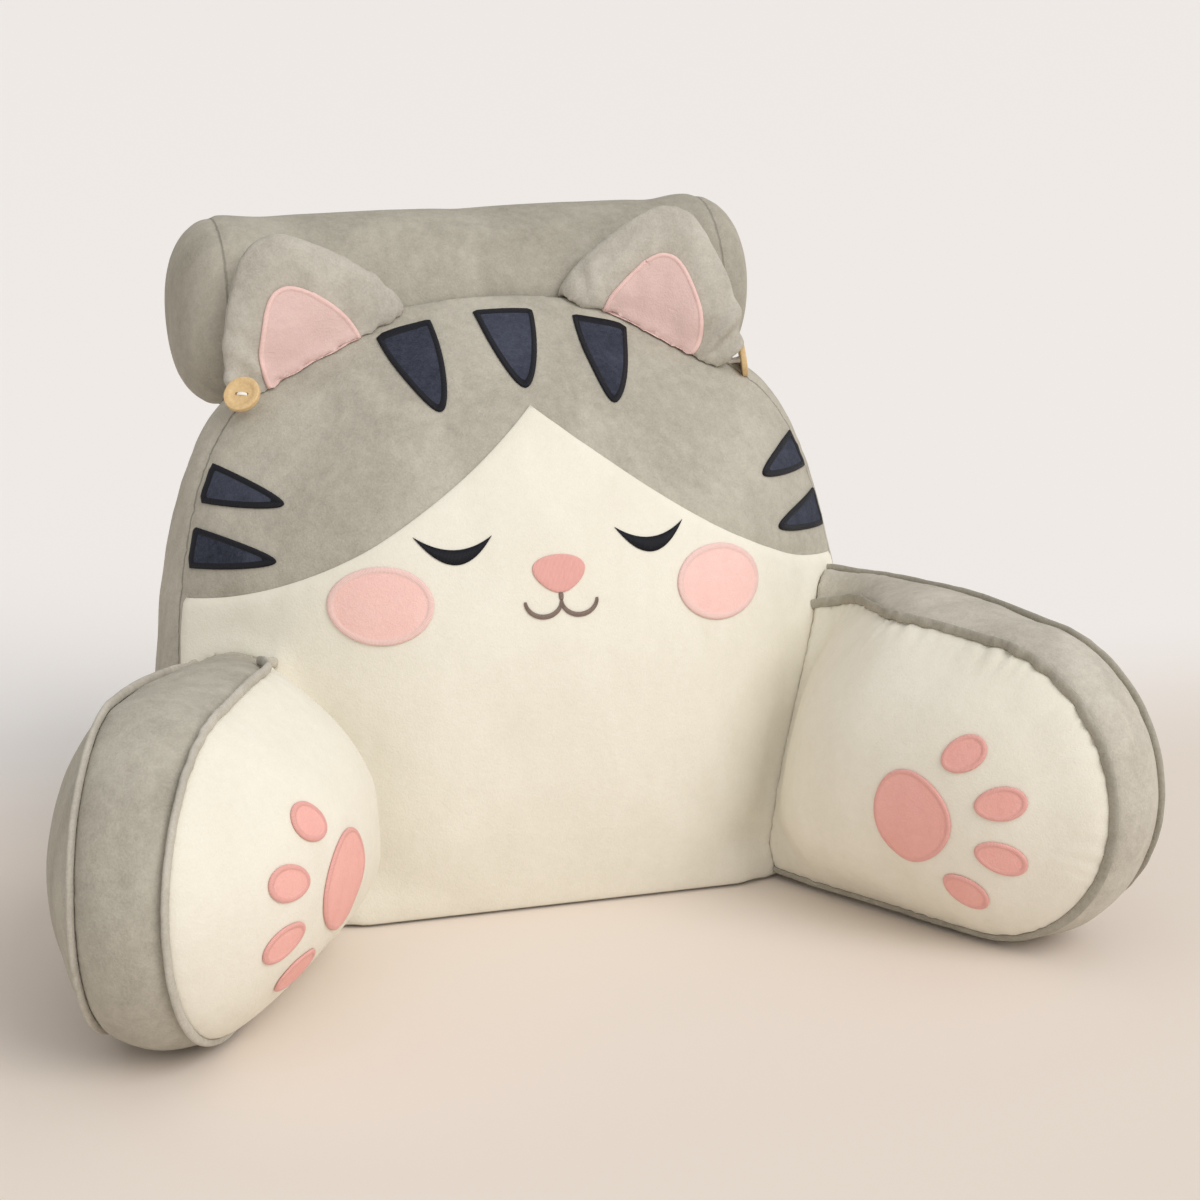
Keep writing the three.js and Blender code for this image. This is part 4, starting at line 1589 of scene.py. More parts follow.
@dataclass
class Ear(Cushion):
    """A padded ear, gathered where it is sewn into the top of the back."""

    # Its plush is lighter by painted light
    finish: Finish = LIT_EAR_PLUSH
    side: Side = Side.RIGHT
    voxel: float = 3.0
    growth: float = 0.03
    cap: float = 4.0
    slack: float = 2.0
    pin_width: float = 2.2
    rings: tuple[float, ...] = (0.15, 0.3, 0.45, 0.6, 0.72, 0.82, 0.9, 0.96, 0.99)
    swells: Table = ((0.5, 45.0),)
    pucker: Triple = (0.4, 10.0, 15.0)
    groove: Pair = (0.9, 3.0)
    seam_steps: int = 300
    roll_room: float = 2.0
    rows: Table = ((-12, 46), (-7, 64), (9, 76), (34, 71), (61, 55), (88, 33), (103, 16), (107, 0))
    x: float = 117.0
    y: float = 50.0
    z: float = 406.0
    roll: float = 16.0
    lean_back: float = 7.0
    yaw: float = -15.0
    lining: Table = ((-8, 35), (7, 41), (29, 37), (53, 22), (65, 10), (68, 0))
    lining_shift: float = 2.0
    crown: float = 17.0
    middle_height: float = 36.0
    cup: float = 6.0
    flatness: float = 3.4
    pleat: float = 6.5
    pinch: float = 0.55
    pinch_low: float = -8.0
    pinch_high: float = 34.0
    cup_from: float = 0.35
    cup_to: float = 0.9
    arch_steps: int = 150
    foot_steps: int = 40
    pleat_wave: float = 21.0
    pleat_fan: float = 90.0
    pleat_fade: float = 34.0
    behind: NeckRoll = field(default_factory=NeckRoll)
    edge: Outline = field(init=False)

    def __post_init__(self) -> None:
        """Names the ear and sets its outline and place."""
        self.name = f"ear_{self.side.word}_cover"
        self.nodes = (f"ear_{self.side.word}",)
        self.pleat_seed = 90 + self.side.value
        self.swell_seed = self.pleat_seed + 6
        self.pucker_seed = self.pleat_seed + 3
        self.edge = Outline(self.arched(self.rows), np.array([0.0, self.middle_height]))
        turn = Matrix.Rotation(math.radians(self.side.value * self.roll), 3, "Y")
        turn = turn @ Matrix.Rotation(math.radians(-self.lean_back), 3, "X")
        turn = turn @ Matrix.Rotation(math.radians(self.side.value * self.yaw), 3, "Z")
        self.turn = np.array(turn)
        self.origin = np.array([self.side.value * self.x, self.y, self.z])

    @classmethod
    def pair(cls) -> list["Ear"]:
        """The two ears, each sewn on at its own lean."""
        left = cls(side=Side.LEFT, x=138.0, z=397.0, roll=25.0, yaw=-6.0, lining_shift=-8.0)
        return [left, cls(side=Side.RIGHT)]

    def arched(self, rows: Table) -> Array:
        """An outline of the ear or its lining, from (height, half width)."""
        return closed_outline(rows, self.arch_steps, self.foot_steps)

    def place(self, local: Array) -> Array:
        """Points of the ear's own plane, set in their place."""
        return local @ self.turn.T + self.origin

    def local(self, points: Array) -> Array:
        """Points in the ear's own plane."""
        return (points - self.origin) @ self.turn

    def layer(self, flat: Array, depth: Array) -> Array:
        """Sets points of the ear in their place, pressed forwards by the roll.

        Args:
            flat: Points (across, height).
            depth: Depth of each behind the ear's plane.

        Returns:
            The points in the cushion's frame.
        """
        placed = self.place(upright(flat, depth))
        middle = self.place(upright(flat, np.zeros(len(flat))))
        placed[:, 1] -= self.behind.press(middle, self.fullness(flat) + self.roll_room)
        return placed

    def fullness(self, flat: Array) -> Array:
        """Half the ear's thickness, pinched where the foot is gathered.

        Args:
            flat: Points (across, height).

        Returns:
            A distance for each point.
        """
        share = np.clip(self.edge.reach(flat)[0], 0.0, 1.0)
        free = smoothstep(flat[:, 1], self.pinch_low, self.pinch_high)
        pinched = self.pinch + (1.0 - self.pinch) * free
        return self.crown * pinched * np.sqrt(1.0 - share**self.flatness)

    def laid(self, places: Array) -> Array:
        """Points of the cupped front under places (across, height)."""
        cupped = 1.0 - smoothstep(self.edge.reach(places)[0], self.cup_from, self.cup_to)
        return self.layer(places, self.cup * cupped - self.fullness(places))

    def rear_face(self, places: Array) -> Array:
        """Points of the full rear behind places (across, height)."""
        return self.layer(places, self.fullness(places))

    def surface(self) -> Form:
        """The sewn form: a cupped front, the edge seam and a full rear.

        Returns:
            The form's points and faces.
        """
        front = [self.laid(self.edge.scaled(share)) for share in (*self.rings, 1.0)]
        rear = [self.rear_face(self.edge.scaled(share)) for share in self.rings[::-1]]
        pole = self.edge.middle[None]
        return loft([*front, *rear], self.laid(pole)[0], self.rear_face(pole)[0])

    def seam_lines(self) -> list[SeamLine]:
        """The seam round the ear's edge."""
        flat = resample(closed(self.edge.points), self.seam_steps)
        return [SeamLine(self.layer(flat, np.zeros(len(flat))))]

    def relief(self, points: Array, seams: Sequence[SeamReading]) -> Array:
        """Adds the pleats that fan out from the foot to what every cover has.

        Args:
            points: Points of the cover.
            seams: The same points measured against each seam.

        Returns:
            Heights.
        """
        own = self.local(points)
        rise = np.maximum(own[:, 2], 0.0)
        fan = own[:, 0] / (1.0 + rise / self.pleat_fan)
        wave = ripple(fan, self.pleat_wave, self.pleat_seed) * np.exp(-rise / self.pleat_fade)
        return self.pleat * wave + super().relief(points, seams)

    def between(self, points: Array, seams: Sequence[SeamReading]) -> list[Array]:
        """Which points lie behind the edge seam."""
        return [self.local(points)[:, 1] > self.local(seams[0].point)[:, 1]]


@dataclass
class Welt:
    """A flat covered flange that stands on one seam of an arm, wavy where the cloth is gathered."""

    arm: ArmCushion
    seam: ArmSeam
    rise: float = 3.8
    thickness: float = 2.4
    stand: float = 4.0
    spread: float = 0.8
    lean: float = 0.6
    gap: float = 0.3
    push: float = 1.4
    sides: int = 16
    steps: int = 560
    wander: float = 0.95
    calm: float = 0.25
    sway_wave: float = 25.0
    frill: float = 0.3
    frill_wave: float = 8.0
    swell: float = 0.07
    swell_wave: float = 15.0
    gather_low: float = 60.0
    gather_high: float = 190.0
    window: int = 4
    squash: float = 0.3
    squash_lifts: float = 5.0
    lift_most: float = 7.0
    drop_most: float = 4.0
    tries: int = 7

    def build(self, beside: Pieces, cut_by: Pieces) -> Piece:
        """Sweeps the welt along its seam and seats it there.

        Args:
            beside: Pieces that the welt is sewn between.
            cut_by: Pieces that the welt stops against.

        Returns:
            The finished piece.
        """
        arm, inner = self.arm, self.seam is ArmSeam.INNER
        flat = resample(arm.seam_path(self.seam), self.steps)
        step = np.gradient(flat, axis=0)
        reach = np.linspace(0.0, 1.0, len(flat)) * np.linalg.norm(step, axis=1).sum()
        seed = 130 + 10 * arm.side.value + (1 if inner else 5)
        gathered = smoothstep(flat[:, 1], self.gather_low, self.gather_high) * (1.0 if inner else 0.0)
        sway = ripple(reach, self.sway_wave, seed) + self.frill * ripple(reach, self.frill_wave, seed + 3)
        sway *= self.wander * arm.gather * (self.calm + gathered)
        seam_out = arm.boxing_place(flat, 0.0 if inner else 1.0)
        foot = arm.place(flat, seam_out)
        way = -1.0 if inner else 1.0
        out = seam_out + way * self.stand * self.lean + sway
        path = arm.place(flat + sideways(step) * self.stand * self.spread, out)
        across = np.array([arm.side.value * arm.out_way[0], arm.out_way[1], 0.0])
        up = unit(np.cross(unit(np.gradient(path, axis=0)), across))
        size = 1.0 + self.swell * arm.gather * ripple(reach, self.swell_wave, seed + 2) * gathered
        free = smoothstep(flat[:, 1], arm.seam_lift, self.squash_lifts * arm.seam_lift)
        size -= self.squash * (1.0 - free)
        turn = np.linspace(0.0, 2.0 * math.pi, self.sides, endpoint=False)[:, None]
        flat_side, edge = self.thickness * np.cos(turn), self.rise * np.sin(turn)
        rings = np.array([c + (across * flat_side + u * edge) * s for c, u, s in zip(path, up, size)])
        shift = self.seat(rings, foot - path, [tree_of(piece) for piece in beside])
        rings += shift[:, None]
        rings[:, :, 2] = np.maximum(rings[:, :, 2], self.gap)
        path += shift
        path[:, 2] = np.maximum(path[:, 2], self.gap)
        name = f"welt_{self.seam.value}_{arm.side.word}"
        piece = mesh_object(name + "_cover", *loft(rings, path[0], path[-1]))
        cut_clear(piece, [*beside, *cut_by], self.gap)
        dress(piece, arm.welt_finish)
        settle(piece, "grey_plush", [name])
        return piece

    def seat(self, rings: Array, way: Array, trees: Trees) -> Array:
        """Moves each ring towards its seam and a little into what it is sewn between.

        Args:
            rings: The welt's rings.
            way: From each ring's middle to its seam.
            trees: Search trees of the pieces beside it.

        Returns:
            The move of each ring.
        """
        way = unit(way)
        moves = np.zeros(len(rings))
        for index, (ring, to_seam) in enumerate(zip(rings, way)):
            low, high = -self.lift_most, self.drop_most
            for _ in range(self.tries):
                middle = (low + high) / 2.0
                if self.clear(ring + to_seam * middle, trees):
                    low = middle
                else:
                    high = middle
            moves[index] = low
        window = self.window
        padded = np.pad(moves, window, mode="edge")
        lowest = np.array([padded[i : i + 2 * window + 1].min() for i in range(len(moves))])
        padded = np.pad(lowest, window, mode="edge")
        even = np.convolve(padded, np.full(2 * window + 1, 1.0 / (2 * window + 1)), mode="valid")
        return way * (even + self.push)[:, None]

    def clear(self, ring: Array, trees: Trees) -> bool:
        """Tells whether a ring lies outside other pieces, with the welt's gap to spare.

        Args:
            ring: Points in millimetres.
            trees: Search trees of the other pieces.

        Returns:
            True where no point is too near.
        """
        for tree in trees:
            for point in ring:
                hit, normal, _, distance = tree.find_nearest(Vector(point * MM))
                if distance < self.gap * MM or (Vector(point * MM) - hit).dot(normal) < 0.0:
                    return False
        return True


def egg_outline(u: float, v: float, wide: float, tall: float, tilt: float, taper: float) -> Array:
    """An egg-shaped outline.

    Args:
        u: Middle across.
        v: Middle height.
        wide: Half width.
        tall: Half height.
        tilt: Turn in degrees.
        taper: Makes the upper end the wide one.

    Returns:
        The outline's points.
    """
    turn = np.linspace(0.0, 2.0 * math.pi, EGG_STEPS, endpoint=False)
    flat = np.column_stack([wide * np.cos(turn) * (1.0 + taper * np.sin(turn)), tall * np.sin(turn)])
    c, s = math.cos(math.radians(tilt)), math.sin(math.radians(tilt))
    return flat @ np.array([[c, s], [-s, c]]) + (u, v)


def crescent_outline(u: float, v: float, half: float, drop: float, thick: float) -> Array:
    """A crescent that hangs between two corners.

    Args:
        u: Middle across.
        v: Height of the corners.
        half: Half the distance between the corners.
        drop: How far the middle hangs down.
        thick: Thickness in the middle.

    Returns:
        The outline's points.
    """
    share = np.linspace(-1.0, 1.0, CRESCENT_STEPS + 1)
    low = np.column_stack([u + half * share, v - drop * (1.0 - share**2)])
    high = np.column_stack([u + half * share, v - (drop - thick) * (1.0 - share**2)])
    return np.vstack([low, high[1:-1][::-1]])


def band_outline(path: Array, wide: float, taper: float) -> Array:
    """The outline of a stitched line.

    Args:
        path: Points along the line.
        wide: Width of the stitches.
        taper: Share of the width that is left at the ends.

    Returns:
        The outline's points.
    """
    line = resample(path, BAND_STEPS)
    away = -sideways(np.gradient(line, axis=0))
    share = np.linspace(-1.0, 1.0, len(line))
    half = wide / 2.0 * (taper + (1.0 - taper) * np.sqrt(1.0 - share**2))[:, None]
    return np.vstack([line + away * half, (line - away * half)[::-1]])


def outline_distance(outline: Array, places: Array) -> tuple[Array, Array]:
    """Measures places against a closed outline.

    Args:
        outline: Corners of the outline.
        places: Points in its plane.

    Returns:
        Distance from the outline, and the nearest place along it.
    """
    step = np.roll(outline, -1, axis=0) - outline
    length = np.linalg.norm(step, axis=1)
    best = np.full(len(places), np.inf)
    along = np.zeros(len(places))
    for corner, way, size, base in zip(outline, step, length, run_along(outline)):
        share = np.clip((places - corner) @ way / (size * size), 0.0, 1.0)
        gap = np.linalg.norm(places - corner - share[:, None] * way, axis=1)
        nearer = gap < best
        best = np.where(nearer, gap, best)
        along = np.where(nearer, base + share * size, along)
    return best, along


def inside(outline: Array, places: Array) -> Array:
    """Tells which places lie inside a closed outline.

    Args:
        outline: Corners of the outline.
        places: Points in its plane.

    Returns:
        True for each place inside.
    """
    result = np.zeros(len(places), bool)
    for a, b in zip(outline, np.roll(outline, -1, axis=0)):
        crosses = (a[1] > places[:, 1]) != (b[1] > places[:, 1])
        if a[1] == b[1]:
            continue
        x = a[0] + (places[:, 1] - a[1]) * (b[0] - a[0]) / (b[1] - a[1])
        result ^= crosses & (places[:, 0] < x)
    return result


@cache
def search_tree(name: str) -> BVHTree:
    """The search tree of a finished piece."""
    return tree_of(bpy.data.objects[name])


@dataclass
class SewnSheet:
    """A flat cut of cloth or stitches that is sewn onto a stuffed piece and follows it."""

    node: str
    slot: str
    outline: Array
    host: Cushion
    cloth: Finish
    thread: Finish | None = None
    ending: str = "_cover"
    stands_for_node: bool = True
    step: float = 4.5
    row_share: float = 0.866
    ring_share: float = 0.94
    border_rows: tuple[float, ...] = (0.12, 0.35, 0.65, 0.88, 1.0)
    roll_rows: tuple[float, ...] = (0.08, 0.25, 0.5, 0.8)
    low: float = 0.45
    high: float = 2.0
    least: float = 0.4
    roll: float = 5.0
    bead: float = 0.6
    border: float = 4.2
    past_border: float = 1.2
    stitch_way: Pair | None = None
    bare_edge: float = 0.7
    drop_reach: float = 25.0
    over: Piece | None = None
    folds: Callable[[Array], Array] | None = None

    def flat_mesh(self) -> tuple[Array, Array]:
        """Fills the outline with triangles.

        Returns:
            The points and the triangles.
        """
        low, high = self.outline.min(axis=0), self.outline.max(axis=0)
        grid = []
        for number, row in enumerate(np.arange(low[1], high[1], self.step * self.row_share)):
            across = np.arange(low[0] + self.step * 0.5 * (number % 2), high[0], self.step)
            grid.append(np.column_stack([across, np.full(len(across), row)]))
        filled = np.vstack(grid)
        filled = filled[inside(self.outline, filled)]
        inward = -sideways(np.roll(self.outline, -1, axis=0) - np.roll(self.outline, 1, axis=0))
        if not inside(self.outline, self.outline[:1] + 0.05 * inward[:1])[0]:
            inward = -inward
        rings = []
        for depth in self.edge_rows():
            ring = self.outline + inward * depth
            kept = inside(self.outline, ring)
            kept &= outline_distance(self.outline, ring)[0] > self.ring_share * depth
            rings.append(ring[kept])
        clear = self.edge_rows()[-1] + 0.5 * self.step
        filled = filled[outline_distance(self.outline, filled)[0] > clear]
        points = np.vstack([self.outline, *rings, filled])
        count = len(self.outline)
        edges = [(i, (i + 1) % count) for i in range(count)]
        found = delaunay_2d_cdt([Vector(p) for p in points], edges, [], 1, 1e-5)
        return np.array([tuple(p) for p in found[0]]), np.array([tuple(f) for f in found[2]])

    def edge_rows(self) -> list[float]:
        """Distances from the outline at which rows of points run along it.

        Returns:
            The distances, from the outline inwards.
        """
        if self.thread:
            rows = [self.border * share for share in self.border_rows]
            return [*rows, self.border + self.past_border]
        return [self.roll * share for share in self.roll_rows]

    def lift(self, distance: Array) -> Array:
        """Height of the upper surface.

        Args:
            distance: Distance of each point from the outline.

        Returns:
            Heights over the host.
        """
        share = np.clip(1.0 - distance / self.roll, 0.0, 1.0)
        height = self.low + self.bare_edge + (self.high - self.low - self.bare_edge) * np.sqrt(1.0 - share**2)
        if self.thread:
            half = self.border / 2.0
            across = np.clip(np.abs(distance - half) / half, 0.0, 1.0)
            height = height + self.bead * np.sqrt(1.0 - across**2)
        return height

    def cast(self, places: Array) -> tuple[Array, Array]:
        """Lays places of the plane onto the host, or onto the panel that covers it.

        Args:
            places: Points in the plane.

        Returns:
            Points of the surface, and its normals there.
        """
        laid, step = self.host.laid, 0.5
        across = laid(places + (step, 0.0)) - laid(places - (step, 0.0))
        rise = laid(places + (0.0, step)) - laid(places - (0.0, step))
        facing = unit(np.cross(across, rise))
        spots = laid(places)
        tree = search_tree(self.host.piece.name)
        middle = int(np.argmin(np.linalg.norm(places - places.mean(axis=0), axis=1)))
        if tree.find_nearest(spots[middle] * MM)[1].dot(Vector(facing[middle])) < 0.0:
            facing = -facing
        points = self.dropped(tree, spots, facing)
        if self.over:
            points = self.dropped(search_tree(self.over.name), points, facing)
        return points, facing

    def dropped(self, tree: BVHTree, points: Array, facing: Array) -> Array:
        """Drops points onto a surface along the way they face.

        Args:
            tree: The surface's search tree.
            points: Points near the surface.
            facing: The way that each point faces.

        Returns:
            Points of the surface; the nearest one where a point's line misses it.
        """
        reach = self.drop_reach * MM
        result = []
        for point, way in zip(points * MM, facing):
            start = Vector(point + way * reach)
            hit = tree.ray_cast(start, Vector(-way), 2.0 * reach)[0]
            result.append(hit or tree.find_nearest(Vector(point))[0])
        return np.array(result) / MM

    def build(self, cut_by: Pieces = (), gap: float = 0.6) -> Piece:
        """Sews the sheet on.

        Args:
            cut_by: Pieces that the sheet stops against.
            gap: Free distance that is left to them.

        Returns:
            The finished piece.
        """
        flat, triangles = self.flat_mesh()
        distance, along = outline_distance(self.outline, flat)
        base, facing = self.cast(flat)
        height = self.lift(distance)
        if self.folds:
            height = np.maximum(height + self.folds(base), self.low + self.least)
        top = base + facing * height[:, None]
        under = base + facing * self.low
        count = len(flat)
        pairs = np.concatenate([triangles[:, ends] for ends in ([0, 1], [1, 2], [2, 0])])
        rim, uses = np.unique(np.sort(pairs, axis=1), axis=0, return_counts=True)
        rim = rim[uses == 1]
        faces: Faces = [tuple(t) for t in triangles.tolist()]
        faces += [tuple(count + i for i in t[::-1]) for t in triangles.tolist()]
        faces += [(a, b, count + b, count + a) for a, b in rim.tolist()]
        piece = mesh_object(self.node + self.ending, np.vstack([top, under]), faces)
        finishes = [self.cloth, self.thread] if self.thread else [self.cloth]
        for finish in finishes:
            piece.data.materials.append(finish.material())
        self.mark_stitches(piece, np.tile(flat, (2, 1)), np.tile(distance, 2), np.tile(along, 2))
        cut_clear(piece, cut_by, gap)
        dress(piece, *finishes)
        settle(piece, self.slot, [self.node] if self.stands_for_node else [])
        return piece

    def mark_stitches(self, piece: Piece, flat: Array, distance: Array, along: Array) -> None:
        """Gives the piece the map that its stitches follow, and marks its border.

        Args:
            piece: The piece.
            flat: Each corner's place in the plane.
            distance: Each corner's distance from the outline.
            along: Each corner's place along the outline.
        """
        chart = piece.data.uv_layers.new(name="stitches")
        total = run_along(closed(self.outline))[-1]
        values = np.zeros((len(piece.data.loops), 2))
        for polygon in piece.data.polygons:
            corners = list(polygon.vertices)
            if self.stitch_way is not None:
                run = flat[corners] @ np.array(self.stitch_way)
            else:
                run = along[corners].copy()
                if np.ptp(run) > total / 2.0:
                    run[run < total / 2.0] += total
            loops = list(polygon.loop_indices)
            values[loops, 0] = run * MM
            values[loops, 1] = distance[corners] * MM
            if self.thread and distance[corners].mean() < self.border:
                polygon.material_index = 1
        chart.data.foreach_set("uv", values.astype(np.float32).ravel())


@dataclass
class Patch(SewnSheet):
    """A small cut of cloth with a satin-stitched edge."""

    ending: str = "_patch"
    step: float = 3.0
    high: float = 1.7
    roll: float = 3.0


@dataclass
class Stitching(SewnSheet):
    """A small shape filled with satin stitches."""

    ending: str = "_stitches"
    step: float = 1.3
    low: float = 0.4
    high: float = 1.8
    roll: float = 3.0
    bare_edge: float = 0.4


def cylinder(
    vertices: int,
    radius: float,
    depth: float,
    middle: Sequence[float] = (0.0, 0.0, 0.0),
    turn: Sequence[float] = (0.0, 0.0, 0.0),
) -> Piece:
    """Adds a cylinder with its place in its mesh.

    Args:
        vertices: Corners round it.
        radius: Its radius.
        depth: Its length.
        middle: Its middle.
        turn: Turns about X, Y and Z.

    Returns:
        The cylinder, which is the active object.
    """
    bpy.ops.object.select_all(action="DESELECT")
    bpy.ops.mesh.primitive_cylinder_add(
        vertices=vertices, radius=radius * MM, depth=depth * MM, location=Vector(middle) * MM, rotation=turn
    )
    bpy.ops.object.transform_apply(location=True, rotation=True, scale=True)
    return bpy.context.object


@dataclass
class WoodenButton:
    """A dished two-hole button on a thread stem."""

    side: Side
    facing: Triple
    place: Triple
    stand: float
    radius: float = 14.0
    thickness: float = 4.5
    rim: float = 2.2
    dish: float = 1.1
    hole_radius: float = 1.3
    hole_spread: float = 4.2
    stem_radius: float = 2.4
    stem_depth: float = 2.8
    stem_wave: float = 1.6
    stem_waist: float = 0.1
    floor_inset: float = 2.0
    floor_drop: float = 0.2
    edge_round: float = 0.9
    bar_radius: float = 0.5
    bar_spread: float = 0.75
    bar_sink: float = 1.2
    bar_bow: float = 1.75
    rim_flat: float = 1.7
    rim_slope: float = 0.9
    edge_angle: float = 15.0
    smooth_angle: float = 40.0
    seek: float = 80.0
    sides: int = 72
    hole_sides: int = 28
    bar_sides: int = 14
    stem_sides: int = 24
    stem_cuts: int = 5

    def disc(self) -> Piece:
        """Turns the dished disc and drills it.

        Returns:
            The disc, lying on Z = 0 with its face up.
        """
        disc = cylinder(self.sides, self.radius, self.thickness, (0.0, 0.0, self.thickness / 2.0))
        bpy.ops.object.mode_set(mode="EDIT")
        shell = bmesh.from_edit_mesh(disc.data)
        for face in shell.faces:
            face.select_set(face.normal.z > 0.9)
        bmesh.update_edit_mesh(disc.data)
        flat, slope = self.rim_flat * self.rim, self.rim_slope * self.rim
        for inset, drop in ((flat, 0.0), (slope, self.dish), (self.floor_inset, self.floor_drop)):
            bpy.ops.mesh.inset(thickness=inset * MM, depth=-drop * MM)
        bpy.ops.object.mode_set(mode="OBJECT")
        edges = disc.modifiers.new("edges", "BEVEL")
        edges.width = self.edge_round * MM
        edges.segments = 4
        edges.limit_method = "ANGLE"
        edges.angle_limit = math.radians(self.edge_angle)
        apply_modifier(disc, edges)
        for way in (-1.0, 1.0):
            middle = (way * self.hole_spread, 0.0, 0.0)
            drill = cylinder(self.hole_sides, self.hole_radius, 4.0 * self.thickness, middle)
            cut_out(disc, drill, Solver.EXACT)
        return disc

    def bar(self, offset: float) -> Piece:
        """One bowed bar of thread between the holes.

        Args:
            offset: Its distance sideways from the middle bar.

        Returns:
            The bar, in the disc's place.
        """
        length = 2.0 * self.hole_spread
        bar = cylinder(self.bar_sides, self.bar_radius, length, turn=(0.0, math.pi / 2.0, 0.0))
        bpy.ops.object.mode_set(mode="EDIT")
        for share in (0.0, -0.6, 0.6):
            bpy.ops.mesh.select_all(action="SELECT")
            bpy.ops.mesh.bisect(plane_co=(share * self.hole_spread * MM, 0, 0), plane_no=(1, 0, 0))
        bpy.ops.object.mode_set(mode="OBJECT")
        points = coordinates(bar)
        bow = 1.0 - (points[:, 0] / self.hole_spread) ** 2
        top = self.thickness - self.dish - self.floor_drop
        points[:, 1] += offset * (0.5 + 0.5 * bow)
        points[:, 2] += top - self.bar_sink + self.bar_bow * np.sqrt(np.clip(bow, 0.0, 1.0))
        set_coordinates(bar, points)
        return bar

    def stem(self) -> Piece:
        """The wound stem under the disc.

        Returns:
            The stem, in the disc's place.
        """
        length = self.stand + self.stem_depth
        stem = cylinder(self.stem_sides, self.stem_radius, length, (0.0, 0.0, -length / 2.0))
        bpy.ops.object.mode_set(mode="EDIT")
        bpy.ops.mesh.select_all(action="SELECT")
        bpy.ops.mesh.subdivide(number_cuts=self.stem_cuts)
        bpy.ops.object.mode_set(mode="OBJECT")
        points = coordinates(stem)
        waist = 1.0 + self.stem_waist * np.cos(2.0 * math.pi * points[:, 2] / self.stem_wave)
        points[:, :2] *= waist[:, None]
        set_coordinates(stem, points)
        return stem

    def threads(self) -> Piece:
        """The bars of thread between the holes, joined to the stem below.

        Returns:
            The threads, in the disc's place.
        """
        bars = [self.bar(way * self.bar_spread) for way in (-1.0, 0.0, 1.0)]
        stem = self.stem()
        only(stem)
        for bar in bars:
            bar.select_set(True)
        bpy.ops.object.join()
        return stem

    def build(self, back: BackCushion) -> None:
        """Makes the button and seats it where its axis meets the back.

        Args:
            back: The back that it is sewn to.
        """
        word = self.side.word
        way = Vector(self.facing).normalized()
        start = (Vector(self.place) + way * self.seek) * MM
        hit = search_tree(back.piece.name).ray_cast(start, -way)[0]
        seat = hit + way * self.stand * MM
        place = Matrix.Translation(seat) @ way.to_track_quat("Z", "Y").to_matrix().to_4x4()
        disc, threads = self.disc(), self.threads()
        parts = (
            (disc, OILED_WOOD, f"button_{word}_disc", "pale_wood"),
            (threads, WHITE_THREAD, f"button_{word}_thread", "cream_plush"),
        )
        for piece, finish, name, slot in parts:
            piece.name = name
            piece.data.name = name
            piece.data.transform(place)
            piece.data.materials.clear()
            piece.data.materials.append(finish.material())
            only(piece)
            bpy.ops.object.shade_smooth_by_angle(angle=math.radians(self.smooth_angle))
            settle(piece, slot, [f"button_{word}"] if piece is disc else [])


@dataclass
class FacePanel:
    """The pale panel of the back, from the bottom seam up to a pointed blaze."""

    foot: float = 2.5
    foot_half: float = 232.0
    side_low: float = 150.0
    side_high: float = 172.0
    inset: float = 2.5
    high: float = 2.6
    roll: float = 7.0
    blaze_corners: int = 140
    side_corners: int = 12
    other_corners: int = 200

    def outline(self, back: BackCushion) -> Array:
        """The panel's outline in the front's plane.

        Args:
            back: The back that it is sewn to.

        Returns:
            The outline's points.
        """
        blaze = back.blaze_line(self.blaze_corners)
        heights = np.array([row[0] for row in back.rows], float)
        halves = np.array([row[1] for row in back.rows], float)
        rise = np.linspace(self.side_high, blaze[0, 1], self.side_corners)
        right = np.column_stack([np.interp(rise, heights, halves) - self.inset, rise])
        low = [(self.foot_half, self.foot), (self.foot_half, self.side_low)]
        right = np.vstack([low, right])
        left = right[::-1] * (-1.0, 1.0)
        corners = np.vstack([blaze[-1:], left, right, blaze[:1]])
        return np.vstack([blaze, resample(corners, self.other_corners)[1:-1]])

    def build(self, back: BackCushion, arms: Sequence[ArmCushion]) -> Piece:
        """Sews the panel on.

        Args:
            back: The back that it is sewn to.
            arms: The arms that it stops against.

        Returns:
            The finished piece.
        """
        edge = {"high": self.high, "roll": self.roll}
        sheet = SewnSheet("face_panel", "cream_plush", self.outline(back), back, CREAM_PLUSH, **edge)
        return sheet.build([arm.piece for arm in arms])


@dataclass
class ArmPanel:
    """The pale panel on an arm's inner face, gathered along its seam."""

    reach: float = 0.994
    corners: int = 340
    step: float = 3.4
    high: float = 2.4
    bare_edge: float = 1.3
    gap: float = 0.3

    def build(self, arm: ArmCushion, cut_by: Pieces) -> Piece:
        """Sews the panel on.

        Args:
            arm: The arm that it is sewn to.
            cut_by: Pieces that it stops against.

        Returns:
            The finished piece.
        """
        outline = resample(closed(arm.edge.scaled(self.reach)), self.corners)[:-1]
        node = f"arm_panel_{arm.side.word}"
        edge = {"step": self.step, "high": self.high, "roll": self.high, "bare_edge": self.bare_edge}
        sheet = SewnSheet(node, "cream_plush", outline, arm, CREAM_PLUSH, folds=arm.gathers, **edge)
        return sheet.build(cut_by, self.gap)


@dataclass
class EarLining:
    """The pink lining on an ear's front."""

    high: float = 1.8
    border: float = 3.4

    def build(self, ear: Ear, cut_by: Pieces) -> None:
        """Sews the lining on.

        Args:
            ear: The ear that it is sewn to.
            cut_by: Pieces that it stops against.
        """
        outline = ear.arched(ear.lining) + (ear.lining_shift, 0.0)
        node, edge = f"ear_lining_{ear.side.word}", {"high": self.high, "border": self.border}
        Patch(node, "pink_plush", outline, ear, PINK_PLUSH, PALE_PINK_THREAD, **edge).build(cut_by)


